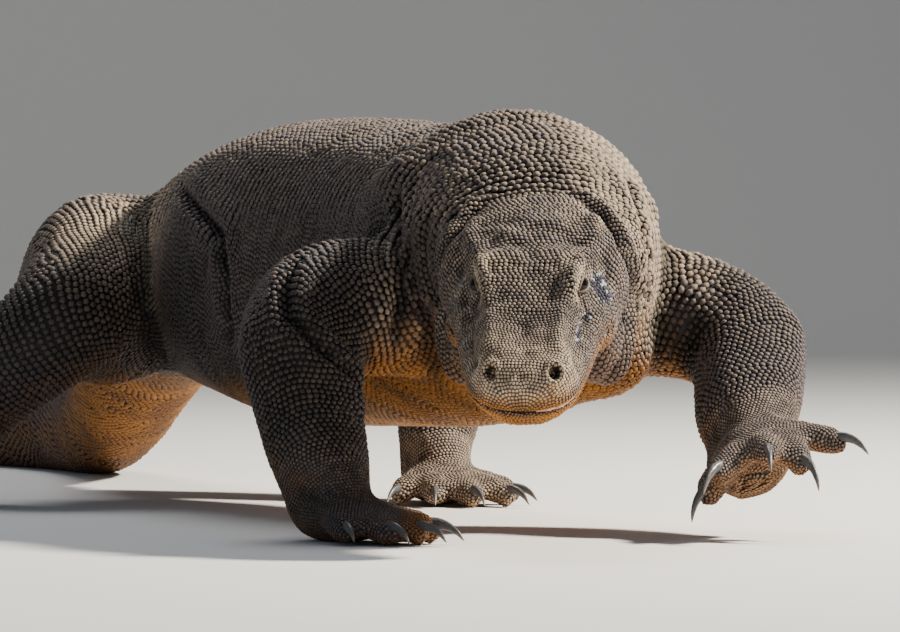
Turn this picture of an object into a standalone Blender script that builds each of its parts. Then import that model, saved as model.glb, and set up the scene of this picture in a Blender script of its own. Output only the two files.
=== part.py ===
"""Komodo dragon (Varanus komodoensis), a still life-size model of a walking adult.

The animal walks towards -Y with its left at +X. It stands on the right forefoot and both
hind feet, with the tail laid on the floor, and swings its left forefoot forward, clear of it.

The body is modelled whole: tapered lofts and muscle ellipsoids are fused into one surface,
softened and thinned out, laid flat where it meets the floor, and then parted by thin cuts
into head, jaw, neck, trunk, tail and leg nodes. Eyes and claws are solids of their own,
seated in sockets. The origin ends up at the middle of the bounding box, at floor level.
"""

import math

import bmesh
import bpy
import numpy as np
from mathutils import Matrix, Vector

# ---------------------------------------------------------------- driving dimensions (metres)
HEAD_LENGTH = 0.225
HEAD_YAW = math.radians(31)  # the head turns this far to the animal's right
HEAD_PITCH = math.radians(31)  # and dips this far below level
NAPE = Vector((-0.106, -0.229, 0.243))  # where the head meets the neck
MOUTH_HEIGHT = -0.0125  # mouth line below the head's own axis
JAW_BACK = 0.048  # how far in front of the nape the lower jaw ends
EYE_RADIUS = 0.0105
EYE_FORWARD, EYE_SIDE, EYE_RISE = 0.095, 0.0370, 0.0245

FUSE_VOXEL = 0.004  # grain of the fused body
BODY_TRIANGLES = 3420  # the cuts and claw seats add more
CUT = 0.0004  # width of every thin cut, and of the play round the eyes
CLAW_PLAY = 0.0006  # play round the claws in their seats
FLOOR_BITE = 0.0015  # how far soles and tail are sunk before the floor trims them flat

SIDES = {"right": -1, "left": 1}

# Neck, trunk and tail: centre x, y, z, half width, rise above the centre, drop below it.
AXIS_STATIONS = [
    (-0.118, -0.262, 0.224, 0.066, 0.042, 0.050),  # inside the back of the head
    (-0.100, -0.228, 0.240, 0.080, 0.046, 0.064),  # nape
    (-0.062, -0.150, 0.250, 0.097, 0.068, 0.094),  # mid neck
    (-0.026, -0.072, 0.245, 0.110, 0.100, 0.116),  # neck base
    (0.000, 0.000, 0.232, 0.119, 0.134, 0.132),  # withers
    (0.006, 0.100, 0.221, 0.124, 0.139, 0.134),  # chest
    (0.010, 0.240, 0.216, 0.134, 0.143, 0.134),
    (0.012, 0.400, 0.214, 0.141, 0.147, 0.134),  # belly, the widest
    (0.014, 0.540, 0.213, 0.126, 0.132, 0.116),
    (0.018, 0.660, 0.210, 0.104, 0.101, 0.094),  # loins
    (0.028, 0.760, 0.200, 0.090, 0.082, 0.086),  # pelvis
    (0.046, 0.870, 0.168, 0.072, 0.074, 0.074),  # tail root
    (0.072, 0.985, 0.122, 0.061, 0.068, 0.064),
    (0.104, 1.100, 0.083, 0.054, 0.062, 0.060),
    (0.132, 1.220, 0.0605, 0.050, 0.057, 0.0612),  # here the tail reaches the floor
    (0.140, 1.345, 0.0530, 0.045, 0.052, 0.0545),
    (0.118, 1.480, 0.0460, 0.039, 0.046, 0.0475),
    (0.060, 1.610, 0.0390, 0.033, 0.041, 0.0405),
    (-0.030, 1.715, 0.0320, 0.026, 0.035, 0.0335),
    (-0.140, 1.785, 0.0250, 0.020, 0.028, 0.0265),
    (-0.262, 1.818, 0.0185, 0.0145, 0.021, 0.0200),
    (-0.375, 1.815, 0.0125, 0.0100, 0.014, 0.0140),
    (-0.460, 1.790, 0.0080, 0.0060, 0.009, 0.0085),
]
# Head in its own frame: forward of the nape, half width, rise, drop, squareness, and how much
# narrower it is at the crown than at the cheeks.
HEAD_STATIONS = [
    (-0.030, 0.066, 0.038, 0.046, 2.2, 0.10),
    (0.000, 0.070, 0.042, 0.051, 2.3, 0.15),
    (0.035, 0.0715, 0.043, 0.052, 2.4, 0.20),
    (0.070, 0.0680, 0.0430, 0.049, 2.5, 0.30),
    (0.100, 0.0620, 0.0405, 0.045, 2.6, 0.36),
    (0.135, 0.0565, 0.0340, 0.041, 2.6, 0.32),
    (0.170, 0.0510, 0.0280, 0.0385, 2.6, 0.22),
    (0.198, 0.0450, 0.0235, 0.0370, 2.5, 0.15),
    (0.216, 0.0360, 0.0175, 0.0330, 2.4, 0.10),
    (HEAD_LENGTH + 0.002, 0.0215, 0.0095, 0.0240, 2.1, 0.05),
]

# Legs: centres of shoulder or hip, elbow or knee, and ankle, radii along them, the cut that parts
# the leg from the trunk (centre, direction, radius), and which way palm and toes point.
LEGS = {
    "foreleg_right": {
        "joints": [(-0.060, 0.010, 0.195), (-0.226, -0.004, 0.190), (-0.232, -0.086, 0.056)],
        "radii": [0.062, 0.056, 0.056, 0.051, 0.045, 0.041],
        "root": ((-0.148, 0.004, 0.190), (-1, 0.4, 0), 0.105),
        "foot": "forefoot_right",
        "palm": ((0.25, -0.968, 0.0), (0, 0, 1)),
        "toes": (0.26, -0.965, 0.0),
    },
    "foreleg_left": {
        "joints": [(0.055, -0.010, 0.200), (0.183, -0.086, 0.174), (0.123, -0.181, 0.094)],
        "radii": [0.060, 0.054, 0.050, 0.049, 0.047, 0.044],
        "offset": (-0.015, 0.008, -0.006),
        "root": ((0.135, -0.057, 0.186), (0.80, -0.25, -0.55), 0.105),
        "foot": "forefoot_left",
        "palm": ((-0.34, -0.76, 0.50), (-0.37, 0.19, 0.90)),
        "toes": (-0.36, -0.93, 0.0),
    },
    "hindleg_right": {
        "joints": [(-0.060, 0.700, 0.206), (-0.194, 0.556, 0.178), (-0.285, 0.668, 0.050)],
        "radii": [0.088, 0.081, 0.060, 0.052, 0.043, 0.037],
        "root": ((-0.140, 0.616, 0.190), (-1, -0.05, 0), 0.150),
        "foot": "hindfoot_right",
        "palm": ((-0.45, -0.89, 0.0), (0, 0, 1)),
        "toes": (-0.45, -0.89, 0.0),
    },
    "hindleg_left": {
        "joints": [(0.070, 0.700, 0.198), (0.222, 0.572, 0.190), (0.161, 0.482, 0.054)],
        "radii": [0.085, 0.080, 0.064, 0.054, 0.046, 0.037],
        "root": ((0.152, 0.615, 0.180), (0.80, 0, -0.60), 0.150),
        "foot": "hindfoot_left",
        "palm": ((-0.25, -0.97, 0.0), (0, 0, 1)),
        "toes": (-0.25, -0.97, 0.0),
    },
}
# Feet: digit lengths from thumb to little toe, how far they fan out (degrees, thumb towards the
# middle of the body) and hang down, digit radius, claw length, palm half width, half length and
# half thickness, and how far below the ankle the sole lies.
FEET = {
    "forefoot_right": {
        "digits": (0.040, 0.052, 0.058, 0.054, 0.042),
        "fan": (44, 17, 4, -9, -26),
        "radius": 0.0120,
        "claw": 0.036,
        "palm": (0.037, 0.047, 0.0215),
        "sole": 0.056,
    },
    "forefoot_left": {
        "digits": (0.040, 0.050, 0.050, 0.048, 0.046),
        "fan": (46, 36, 4, -20, -52),
        "droop": (34, 16, 8, 24, 4),
        "radius": 0.0125,
        "claw": 0.040,
        "palm": (0.040, 0.043, 0.0260),
        "sole": 0.066,
    },
    "hindfoot_right": {
        "digits": (0.044, 0.058, 0.070, 0.078, 0.050),
        "fan": (36, 14, -4, -22, -50),
        "radius": 0.0125,
        "claw": 0.038,
        "palm": (0.039, 0.054, 0.0225),
        "sole": 0.050,
    },
    "hindfoot_left": {
        "digits": (0.042, 0.054, 0.064, 0.070, 0.044),
        "fan": (36, 12, -7, -24, -42),
        "radius": 0.0125,
        "claw": 0.038,
        "palm": (0.039, 0.052, 0.0225),
        "sole": 0.054,
    },
}
CLAW_HEIGHT, CLAW_WIDTH = 0.0054, 0.0038  # half height and half width at the root
CLAW_ROOT = 0.008  # length of claw seated in the toe


# ---------------------------------------------------------------- small helpers
def placed(point, along=(0, 1, 0), up=(0, 0, 1)):
    """A matrix whose Y runs along a direction and whose Z is as near as can be to up."""
    y = Vector(along).normalized()
    x = y.cross(Vector(up)).normalized()
    return Matrix.Translation(point) @ Matrix((x, y, x.cross(y))).transposed().to_4x4()


def head_frame():
    """Matrix from head coordinates (X right, Y forward, Z up) to the design frame."""
    level = math.cos(HEAD_PITCH)
    forward = (-math.sin(HEAD_YAW) * level, -math.cos(HEAD_YAW) * level, -math.sin(HEAD_PITCH))
    return placed(NAPE, forward)


def smooth_rows(rows, per_span):
    """Rows of numbers, with Catmull-Rom rows put in between them."""
    table = np.array(rows, float)
    padded = np.vstack([2 * table[0] - table[1], table, 2 * table[-1] - table[-2]])
    made = []
    for i in range(len(table) - 1):
        a, b, c, d = padded[i : i + 4]
        for step in range(per_span):
            t = step / per_span
            made.append(
                0.5 * (2 * b + (c - a) * t + (2 * a - 5 * b + 4 * c - d) * t**2 + (3 * b - a - 3 * c + d) * t**3)
            )
    made.append(table[-1])
    return np.array(made)


def loft(rows, up_hint, sides=28, per_span=4):
    """A closed tube as a bmesh. A row is centre x, y, z, half width, rise, drop, squareness, taper."""
    rows = smooth_rows(rows, per_span)
    centres = rows[:, :3]
    tangents = np.gradient(centres, axis=0)
    bm = bmesh.new()
    rings = []
    for centre, tangent, row in zip(centres, tangents, rows, strict=True):
        along = Vector(tangent).normalized()
        side = along.cross(Vector(up_hint)).normalized()
        up = side.cross(along)
        half_width, rise, drop = row[3:6]
        power = 2 / (row[6] if len(row) > 6 else 2.2)
        taper = row[7] if len(row) > 7 else 0
        ring = []
        for k in range(sides):
            angle = 2 * math.pi * k / sides
            c, s = math.cos(angle), math.sin(angle)
            level = math.copysign(abs(s) ** power, s)
            across = half_width * math.copysign(abs(c) ** power, c) * (1 - taper * max(level, 0))
            high = (rise if s > 0 else drop) * level
            ring.append(bm.verts.new(Vector(centre) + side * across + up * high))
        rings.append(ring)
    for a, b in zip(rings, rings[1:]):
        for k in range(sides):
            bm.faces.new((a[k], a[(k + 1) % sides], b[(k + 1) % sides], b[k]))
    bm.faces.new(rings[0])
    bm.faces.new(rings[-1])
    bmesh.ops.recalc_face_normals(bm, faces=bm.faces)
    bmesh.ops.triangulate(bm, faces=bm.faces, quad_method="FIXED")
    return bm


def ellipsoid(matrix, radii):
    """A UV sphere of three radii, placed by a matrix."""
    bm = bmesh.new()
    bmesh.ops.create_uvsphere(bm, u_segments=24, v_segments=14, radius=1)
    bmesh.ops.transform(bm, matrix=matrix @ Matrix.Diagonal((*radii, 1)), verts=bm.verts)
    return bm


def made_object(name, bm, collection):
    mesh = bpy.data.meshes.new(name)
    bm.to_mesh(mesh)
    bm.free()
    obj = bpy.data.objects.new(name, mesh)
    collection.objects.link(obj)
    return obj


def joined(bmeshes):
    """Several bmeshes as one."""
    whole = bmesh.new()
    for bm in bmeshes:
        mesh = bpy.data.meshes.new("part")
        bm.to_mesh(mesh)
        bm.free()
        whole.from_mesh(mesh)
        bpy.data.meshes.remove(mesh)
    return whole


def evaluated_mesh(obj):
    graph = bpy.context.evaluated_depsgraph_get()
    return bpy.data.meshes.new_from_object(obj.evaluated_get(graph))


# ---------------------------------------------------------------- flesh
def trunk_and_tail():
    return [loft(AXIS_STATIONS, (0, 0, 1), sides=32)]


def head_flesh(frame):
    """Skull with the jaw closed, its jaw muscles, brow domes and eyelid rims."""
    stations = []
    for forward, *section in HEAD_STATIONS:
        stations.append((*(frame @ Vector((0, forward, 0))), *section))
    flesh = [loft(stations, frame.to_3x3() @ Vector((0, 0, 1)), sides=32)]
    for side in SIDES.values():
        for place, radii in (
            ((0.052, 0.028, -0.008), (0.026, 0.044, 0.040)),  # jaw muscle
            ((0.0330, 0.090, 0.0330), (0.0150, 0.0300, 0.0110)),  # brow dome
            ((0.0345, EYE_FORWARD, EYE_RISE), (0.0105, 0.0175, 0.0135)),  # lids
            ((0.0255, 0.2010, 0.0080), (0.0130, 0.0160, 0.0120)),  # nostril swelling
            ((0.058, 0.075, -0.024), (0.012, 0.040, 0.014)),  # corner of the mouth
            ((0.050, 0.026, -0.061), (0.027, 0.050, 0.046)),  # loose skin of the throat
        ):
            spot = frame @ Matrix.Translation((side * place[0], place[1], place[2]))
            flesh.append(ellipsoid(spot, radii))
    return flesh


def leg_flesh(spec):
    """Upper and lower leg as one bent loft, with the muscle of each joint."""
    hip, knee, ankle = (Vector(j) for j in spec["joints"])
    r = spec["radii"]
    upper, lower = knee - hip, ankle - knee
    bend = (upper.normalized() - lower.normalized()).normalized()
    hint = upper.cross(lower)
    rows = [
        (*hip, r[0], r[0], r[0]),
        (*(hip + upper * 0.45), r[1], r[1], r[1]),
        (*(knee - upper * 0.16 - bend * 0.004), r[2], r[2], r[2]),
        (*(knee + lower * 0.20 - bend * 0.008), r[3], r[3], r[3]),
        (*(knee + lower * 0.52), r[4], r[4], r[4]),
        (*(ankle - lower * 0.10), r[5], r[5], r[5]),
        (*(ankle + lower.normalized() * 0.012), r[5] * 0.9, r[5] * 0.9, r[5] * 0.9),
    ]
    return [loft(rows, hint, sides=24, per_span=4)]


def muscles():
    """Shoulder blades, chest, elbows, thighs and calves, as ellipsoids under the skin."""
    made = []
    for name, side in SIDES.items():
        shoulder, elbow, wrist = (Vector(j) for j in LEGS[f"foreleg_{name}"]["joints"])
        hip, knee, ankle = (Vector(j) for j in LEGS[f"hindleg_{name}"]["joints"])
        for middle, along, radii in (
            (Vector((side * 0.082, 0.045, 0.266)), (0, 1, -0.35), (0.038, 0.085, 0.060)),  # blade
            (Vector((side * 0.042, -0.030, 0.165)), (0, 1, 0.2), (0.056, 0.090, 0.050)),  # breast
            (shoulder.lerp(elbow, 0.60) + Vector((0, 0.012, 0.0)), elbow - shoulder, (0.048, 0.073, 0.052)),
            (elbow.lerp(wrist, 0.24), wrist - elbow, (0.049, 0.058, 0.048)),  # forearm
            (hip.lerp(knee, 0.34) + Vector((0, 0.018, 0.012)), knee - hip, (0.074, 0.105, 0.086)),  # thigh
            (knee.lerp(ankle, 0.30) + Vector((0, 0.010, 0.0)), ankle - knee, (0.042, 0.070, 0.044)),  # calf
            (Vector((0.03 + side * 0.052, 0.790, 0.176)), (0.15, 1, -0.35), (0.044, 0.110, 0.056)),  # tail muscle
            (Vector((0.015 + side * 0.078, 0.690, 0.252)), (0, 1, -0.3), (0.032, 0.070, 0.032)),  # hip bone
        ):
            made.append(ellipsoid(placed(middle, along), radii))
    return made


def foot_frame(spec):
    """Matrix at the ankle: Y towards the toes, Z up."""
    heel = Vector(spec["joints"][2]) + Vector(spec.get("offset", (0, 0, 0)))
    return placed(heel, *spec["palm"])


def digits_of(spec):
    """(number, root, tip, direction, up, foot) of each digit of one leg, in the design frame."""
    foot = FEET[spec["foot"]]
    half_width, half_length, _ = foot["palm"]
    palm, toes = foot_frame(spec), placed((0, 0, 0), spec["toes"]).to_3x3()
    droops = foot.get("droop")
    side = SIDES[spec["foot"].split("_")[1]]
    inner = side * palm.col[0].xyz
    radius = foot["radius"]
    for number, (length, fan) in enumerate(zip(foot["digits"], foot["fan"], strict=True), 1):
        angle = math.radians(fan)
        direction = toes @ Vector((side * math.sin(angle), math.cos(angle), 0))
        if droops:
            low = math.radians(droops[number - 1])
            direction = direction * math.cos(low) - toes.col[2] * math.sin(low)
        share = (3 - number) / 2
        forward = half_length * (1.28 - 0.34 * share * share)
        root = palm @ Vector((0, forward, radius * 1.35 - foot["sole"])) + inner * (half_width * 0.72 * share)
        tip = root + direction * length
        if not droops:
            tip.z = radius * 0.92 - FLOOR_BITE
        across = direction.cross(toes.col[2]).normalized()
        yield number, root, tip, direction, across.cross(direction), foot


def foot_flesh(spec):
    """Palm and five digits with a knuckle pad each."""
    foot = FEET[spec["foot"]]
    palm = foot_frame(spec)
    half_width, half_length, half_thickness = foot["palm"]
    rise = half_thickness - FLOOR_BITE - foot["sole"]
    flesh = []
    for forward, lift, radii in (
        (half_length * 0.55, 0, (half_width, half_length, half_thickness)),
        (0, 0.008, (half_width * 0.92, half_length * 0.62, half_thickness * 1.35)),
    ):
        flesh.append(ellipsoid(palm @ Matrix.Translation((0, forward, rise + lift)), radii))
    for _, root, tip, direction, up, foot in digits_of(spec):
        r = foot["radius"]
        arch = up * (r * 0.35)
        rows = [
            (*(root - direction * 0.030), r * 1.15, r * 1.1, r * 1.1),
            (*(root + arch), r * 1.12, r * 1.05, r * 1.05),
            (*(root.lerp(tip, 0.40) + arch * 1.3), r * 0.98, r * 0.95, r * 1.0),
            (*(root.lerp(tip, 0.75) + arch * 0.9), r * 1.05, r * 1.0, r * 1.0),
            (*tip, r * 0.90, r * 0.92, r * 0.90),
            (*(tip + direction * r * 0.75), r * 0.48, r * 0.55, r * 0.55),
        ]
        flesh.append(loft(rows, up, sides=16, per_span=3))
    return flesh


def claw(tip, direction, up, length, play=0.0, sides=6, steps=5):
    """A horn that leaves the toe forward, arches over and comes down to a point."""
    start, bend = math.radians(20), math.radians(85)
    place = tip - direction * CLAW_ROOT + up * 0.0035
    rows = []
    for i in range(steps + 1):
        t = i / steps
        taper = (1 - t) ** 0.65 * 0.94 + 0.06
        pitch = start - bend * t
        heading = direction * math.cos(pitch) + up * math.sin(pitch)
        # The play lengthens both ends and widens every ring alike.
        ahead = heading * (play * ((t == 1) - (t == 0)))
        width, height = CLAW_WIDTH * taper + play, CLAW_HEIGHT * taper + play
        rows.append((*(place + ahead), width, height, height, 2.0))
        place = place + heading * ((length + CLAW_ROOT) / steps)
    return loft(rows, up, sides=sides, per_span=1)


def claws_of(spec, play=0.0):
    for number, _, tip, direction, up, foot in digits_of(spec):
        length = foot["claw"] * (0.86 if number in (1, 5) else 1.0)
        yield number, claw(tip, direction, up, length, play)


# ---------------------------------------------------------------- whole body
def soften(mesh, rounds, keep_shape):
    """Relaxes a mesh. keep_shape is 1 at a vertex that hardly moves and 0 at one that moves freely."""
    count = len(mesh.vertices)
    places = np.empty(count * 3)
    mesh.vertices.foreach_get("co", places)
    places = places.reshape(-1, 3)
    ends = np.empty(len(mesh.edges) * 2, int)
    mesh.edges.foreach_get("vertices", ends)
    a, b = ends.reshape(-1, 2).T
    degree = np.bincount(a, minlength=count) + np.bincount(b, minlength=count)
    free = (1 - keep_shape(places))[:, None]
    for i in range(rounds * 2):
        middle = np.empty_like(places)
        for k in range(3):
            sums = np.bincount(a, places[b, k], count) + np.bincount(b, places[a, k], count)
            middle[:, k] = sums / degree
        # Every second pass pushes back out, so that thin parts don't shrink.
        strength = 0.60 if i % 2 == 0 else -0.52
        places += (middle - places) * strength * free
    mesh.vertices.foreach_set("co", places.ravel())
    mesh.update()


def fine_parts():
    """Centres and radii of the places whose small forms softening must leave."""
    frame = head_frame()
    spots = [(frame @ Vector((0, HEAD_LENGTH * 0.6, 0)), 0.12)]
    for spec in LEGS.values():
        spots.append((foot_frame(spec) @ Vector((0, 0.07, -0.03)), 0.10))
    return spots


def whole_body():
    """All flesh fused, softened and thinned out, as a mesh."""
    flesh = trunk_and_tail() + head_flesh(head_frame()) + muscles()
    for spec in LEGS.values():
        flesh += leg_flesh(spec) + foot_flesh(spec)
    body = made_object("body", joined(flesh), bpy.context.scene.collection)
    fuse = body.modifiers.new("fuse", "REMESH")
    fuse.mode = "VOXEL"
    fuse.voxel_size = FUSE_VOXEL
    body.data = evaluated_mesh(body)
    body.modifiers.clear()
    spots = fine_parts()

    def keep_shape(places):
        kept = np.zeros(len(places))
        for centre, radius in spots:
            near = np.linalg.norm(places - np.array(centre), axis=1) / radius
            kept = np.maximum(kept, np.clip(1.6 - near, 0, 0.82))
        return kept

    soften(body.data, 26, keep_shape)
    thin = body.modifiers.new("thin", "DECIMATE")
    thin.ratio = BODY_TRIANGLES / (2 * len(body.data.polygons))
    mesh = evaluated_mesh(body)
    bpy.data.objects.remove(body)
    return mesh


# ---------------------------------------------------------------- thin cuts
def disc_cutter(name, point, normal, radius, collection):
    bm = bmesh.new()
    bmesh.ops.create_cone(bm, cap_ends=True, segments=20, radius1=radius, radius2=radius, depth=CUT)
    turn = Vector(normal).to_track_quat("Z", "Y").to_matrix().to_4x4()
    bmesh.ops.transform(bm, matrix=Matrix.Translation(point) @ turn, verts=bm.verts)
    return made_object(name, bm, collection)


def box_cutter(name, matrix, low, high, collection):
    bm = bmesh.new()
    bmesh.ops.create_cube(bm, size=1)
    size = Vector(high) - Vector(low)
    centre = (Vector(high) + Vector(low)) / 2
    place = matrix @ Matrix.Translation(centre) @ Matrix.Diagonal((*size, 1))
    bmesh.ops.transform(bm, matrix=place, verts=bm.verts)
    return made_object(name, bm, collection)


def axis_point(station, share):
    """A point and direction on the trunk and tail's centre line, between two stations."""
    start, end = (Vector(AXIS_STATIONS[i][:3]) for i in (station, station + 1))
    return start.lerp(end, share), end - start


def first_cutters(collection):
    """The floor, the cuts across neck and tail, and the cuts that part the legs from the trunk."""
    box_cutter("floor", Matrix(), (-2, -2, -0.2), (2, 3, 0), collection)
    # Station before the cut, share of the way on, radius.
    for name, station, share, radius in (
        ("cut_nape", 1, 0.12, 0.125),
        ("cut_neck", 2, 0.45, 0.135),
        ("cut_tail_base", 11, 0.30, 0.120),
        ("cut_tail_middle", 14, 0.50, 0.090),
        ("cut_tail_rear", 17, 0.10, 0.070),
    ):
        point, along = axis_point(station, share)
        if name == "cut_neck":
            along = Vector((0.15, 1, 0))
        disc_cutter(name, point, along, radius, collection)
    for name, spec in LEGS.items():
        disc_cutter(f"cut_{name}", *spec["root"], collection)


def leg_cutters(name, spec, collection):
    """The cuts at elbow or knee and at the ankle, and a seat for every claw."""
    hip, knee, ankle = (Vector(j) for j in spec["joints"])
    upper, lower = (knee - hip).normalized(), (ankle - knee).normalized()
    inward = (lower - upper).normalized()
    disc_cutter(f"cut_{name}_bend", knee + inward * 0.03, upper + lower, 0.15, collection)
    sole = foot_frame(spec).col[2].xyz
    disc_cutter(f"cut_{name}_ankle", ankle - lower * 0.010, lower * 0.35 - sole * 0.65, 0.085, collection)
    for number, horn in claws_of(spec, play=CLAW_PLAY):
        made_object(f"seat_{spec['foot']}_{number}", horn, collection)


def head_cutters(collection):
    """The mouth line, the back of the lower jaw and the eye sockets."""
    frame = head_frame()
    back, low, high = JAW_BACK, MOUTH_HEIGHT - CUT / 2, MOUTH_HEIGHT + CUT / 2
    box_cutter("cut_mouth", frame, (-0.1, back, low), (0.1, 0.3, high), collection)
    box_cutter("cut_jaw", frame, (-0.1, back, -0.14), (0.1, back + CUT, high), collection)
    for name, side in SIDES.items():
        made_object(f"socket_{name}", eyeball(side, EYE_RADIUS + CUT), collection)


def eyeball(side, radius):
    centre = head_frame() @ Vector((-side * EYE_SIDE, EYE_FORWARD, EYE_RISE))
    bm = bmesh.new()
    bmesh.ops.create_uvsphere(bm, u_segments=14, v_segments=8, radius=radius)
    bmesh.ops.triangulate(bm, faces=bm.faces, quad_method="FIXED")
    bmesh.ops.transform(bm, matrix=Matrix.Translation(centre), verts=bm.verts)
    return bm


def cut_apart(mesh, cutters):
    """The closed pieces, as bmeshes, that a collection of cutters leaves of a mesh."""
    whole = bpy.data.objects.new("whole", mesh)
    bpy.context.scene.collection.objects.link(whole)
    for cutter in cutters.objects:
        cut = whole.modifiers.new(cutter.name, "BOOLEAN")
        cut.operation = "DIFFERENCE"
        cut.object = cutter
    left = bmesh.new()
    left.from_mesh(evaluated_mesh(whole))
    bpy.data.objects.remove(whole)
    pieces, seen = [], set()
    for start in left.verts:
        if start in seen:
            continue
        island, front = {start}, [start]
        while front:
            for edge in front.pop().link_edges:
                island.update(v for v in edge.verts if v not in seen)
                front += [v for v in edge.verts if v not in seen]
                seen.update(edge.verts)
        pieces.append(island_copy(left, island))
    left.free()
    return pieces


def island_copy(whole, island):
    """One loose part of a bmesh, in triangles, as a bmesh of its own."""
    piece = bmesh.new()
    copies = {v: piece.verts.new(v.co) for v in whole.verts if v in island}
    for face in whole.faces:
        if face.verts[0] in island:
            piece.faces.new([copies[v] for v in face.verts])
    bmesh.ops.triangulate(piece, faces=piece.faces)
    return piece


def node_labels():
    """A point inside each flesh node, to name what the cuts leave."""
    frame = head_frame()
    labels = {
        "head": frame @ Vector((0, 0.08, 0.010)),
        "lower_jaw": frame @ Vector((0, 0.13, -0.028)),
        "neck": axis_point(2, 0.05)[0],
        "trunk": Vector((0.01, 0.35, 0.2)),
        "tail_base": axis_point(12, 0.8)[0],
        "tail_middle": axis_point(15, 0.8)[0],
        "tail_rear": axis_point(18, 0.6)[0],
    }
    for name, spec in LEGS.items():
        hip, knee, ankle = (Vector(j) for j in spec["joints"])
        upper, lower = ("upper", "lower") if name.startswith("fore") else ("thigh", "shank")
        labels[f"{name}_{upper}"] = hip.lerp(knee, 0.85)
        labels[f"{name}_{lower}"] = knee.lerp(ankle, 0.5)
        labels[spec["foot"]] = foot_frame(spec) @ Vector((0, 0.03, -0.02))
    return labels


def nearest_label(bm, names):
    middle = sum((v.co for v in bm.verts), Vector()) / len(bm.verts)
    labels = node_labels()
    return min(names or labels, key=lambda name: (labels[name] - middle).length)


def part_body(mesh, cutters, parts):
    """Cuts the body in two rounds, so that no leg's cut reaches into the trunk."""
    first = cut_apart(mesh, cutters["first"])
    for piece in first:
        name = nearest_label(piece, None)
        group = next((g for g in LEGS if name.startswith(g) or name == LEGS[g]["foot"]), name)
        if group not in cutters:
            made_object(name, piece, parts)
            continue
        part = bpy.data.meshes.new(group)
        piece.to_mesh(part)
        piece.free()
        names = [n for n in node_labels() if n.startswith(group)] if group != "head" else ["head", "lower_jaw"]
        if group in LEGS:
            names.append(LEGS[group]["foot"])
        for smaller in cut_apart(part, cutters[group]):
            made_object(nearest_label(smaller, names), smaller, parts)


# ---------------------------------------------------------------- materials and assembly
SHARP_ANGLE = math.radians(50)
FINISHES = {
    "hide": ((0.095, 0.078, 0.064), 0.75),
    "eye": ((0.045, 0.026, 0.012), 0.12),
    "claw": ((0.170, 0.160, 0.150), 0.38),
}


def finish(name):
    colour, roughness = FINISHES[name]
    material = bpy.data.materials.new(name)
    material.use_nodes = True
    shader = material.node_tree.nodes["Principled BSDF"]
    shader.inputs["Base Color"].default_value = (*colour, 1)
    shader.inputs["Roughness"].default_value = roughness
    return material


def centre_on_floor(objects, cutters):
    """Moves everything so that the origin is the middle of the box, at floor level."""
    corners = np.vstack([np.array([v.co for v in o.data.vertices]) for o in objects])
    low, high = corners.min(0), corners.max(0)
    shift = Matrix.Translation((-(low[0] + high[0]) / 2, -(low[1] + high[1]) / 2, -low[2]))
    for o in objects + cutters:
        o.data.transform(shift)


def build():
    for obj in list(bpy.data.objects):
        bpy.data.objects.remove(obj)
    parts = bpy.data.collections.new("komodo_dragon")
    tools = bpy.data.collections.new("cutters")
    bpy.context.scene.collection.children.link(parts)
    bpy.context.scene.collection.children.link(tools)
    cutters = {}
    for group in ("first", "head", *LEGS):
        cutters[group] = bpy.data.collections.new(f"cutters_{group}")
        tools.children.link(cutters[group])

    first_cutters(cutters["first"])
    head_cutters(cutters["head"])
    for name, spec in LEGS.items():
        leg_cutters(name, spec, cutters[name])
    part_body(whole_body(), cutters, parts)
    for name, side in SIDES.items():
        made_object(f"eye_{name}", eyeball(side, EYE_RADIUS), parts)
    for spec in LEGS.values():
        for number, horn in claws_of(spec):
            made_object(f"claw_{spec['foot']}_{number}", horn, parts)

    materials = {name: finish(name) for name in FINISHES}
    for obj in parts.objects:
        kind = obj.name.split("_")[0]
        obj.data.materials.clear()
        obj.data.materials.append(materials[kind if kind in materials else "hide"])
        obj.data.shade_smooth()
        obj.data.set_sharp_from_angle(angle=SHARP_ANGLE)
    for cutter in tools.all_objects:
        cutter.hide_render = True
        cutter.display_type = "WIRE"
    centre_on_floor(list(parts.objects), list(tools.all_objects))


build()
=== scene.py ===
import math

import bmesh
import bpy
import numpy as np
from mathutils import Matrix, Vector
from mathutils.bvhtree import BVHTree
from mathutils.kdtree import KDTree


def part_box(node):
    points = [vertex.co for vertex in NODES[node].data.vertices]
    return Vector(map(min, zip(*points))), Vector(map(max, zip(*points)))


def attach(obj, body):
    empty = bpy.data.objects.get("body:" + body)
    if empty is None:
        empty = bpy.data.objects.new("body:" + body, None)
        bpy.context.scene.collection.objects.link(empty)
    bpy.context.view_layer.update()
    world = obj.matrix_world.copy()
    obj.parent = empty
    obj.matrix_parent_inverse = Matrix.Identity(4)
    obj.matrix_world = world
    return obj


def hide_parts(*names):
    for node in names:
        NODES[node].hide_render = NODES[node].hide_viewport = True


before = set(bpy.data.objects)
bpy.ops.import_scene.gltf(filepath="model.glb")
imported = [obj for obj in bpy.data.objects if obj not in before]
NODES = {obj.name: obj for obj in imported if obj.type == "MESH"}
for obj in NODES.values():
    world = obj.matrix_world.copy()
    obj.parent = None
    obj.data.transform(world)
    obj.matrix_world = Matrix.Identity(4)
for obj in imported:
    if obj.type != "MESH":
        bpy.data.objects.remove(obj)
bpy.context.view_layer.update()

FLESH = sorted(name for name in NODES if not name.startswith(("eye_", "claw_")))
CLAWS = sorted(name for name in NODES if name.startswith("claw_"))
SIDES = {"right": 1, "left": -1}  # the head's own X runs to the animal's right

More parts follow.
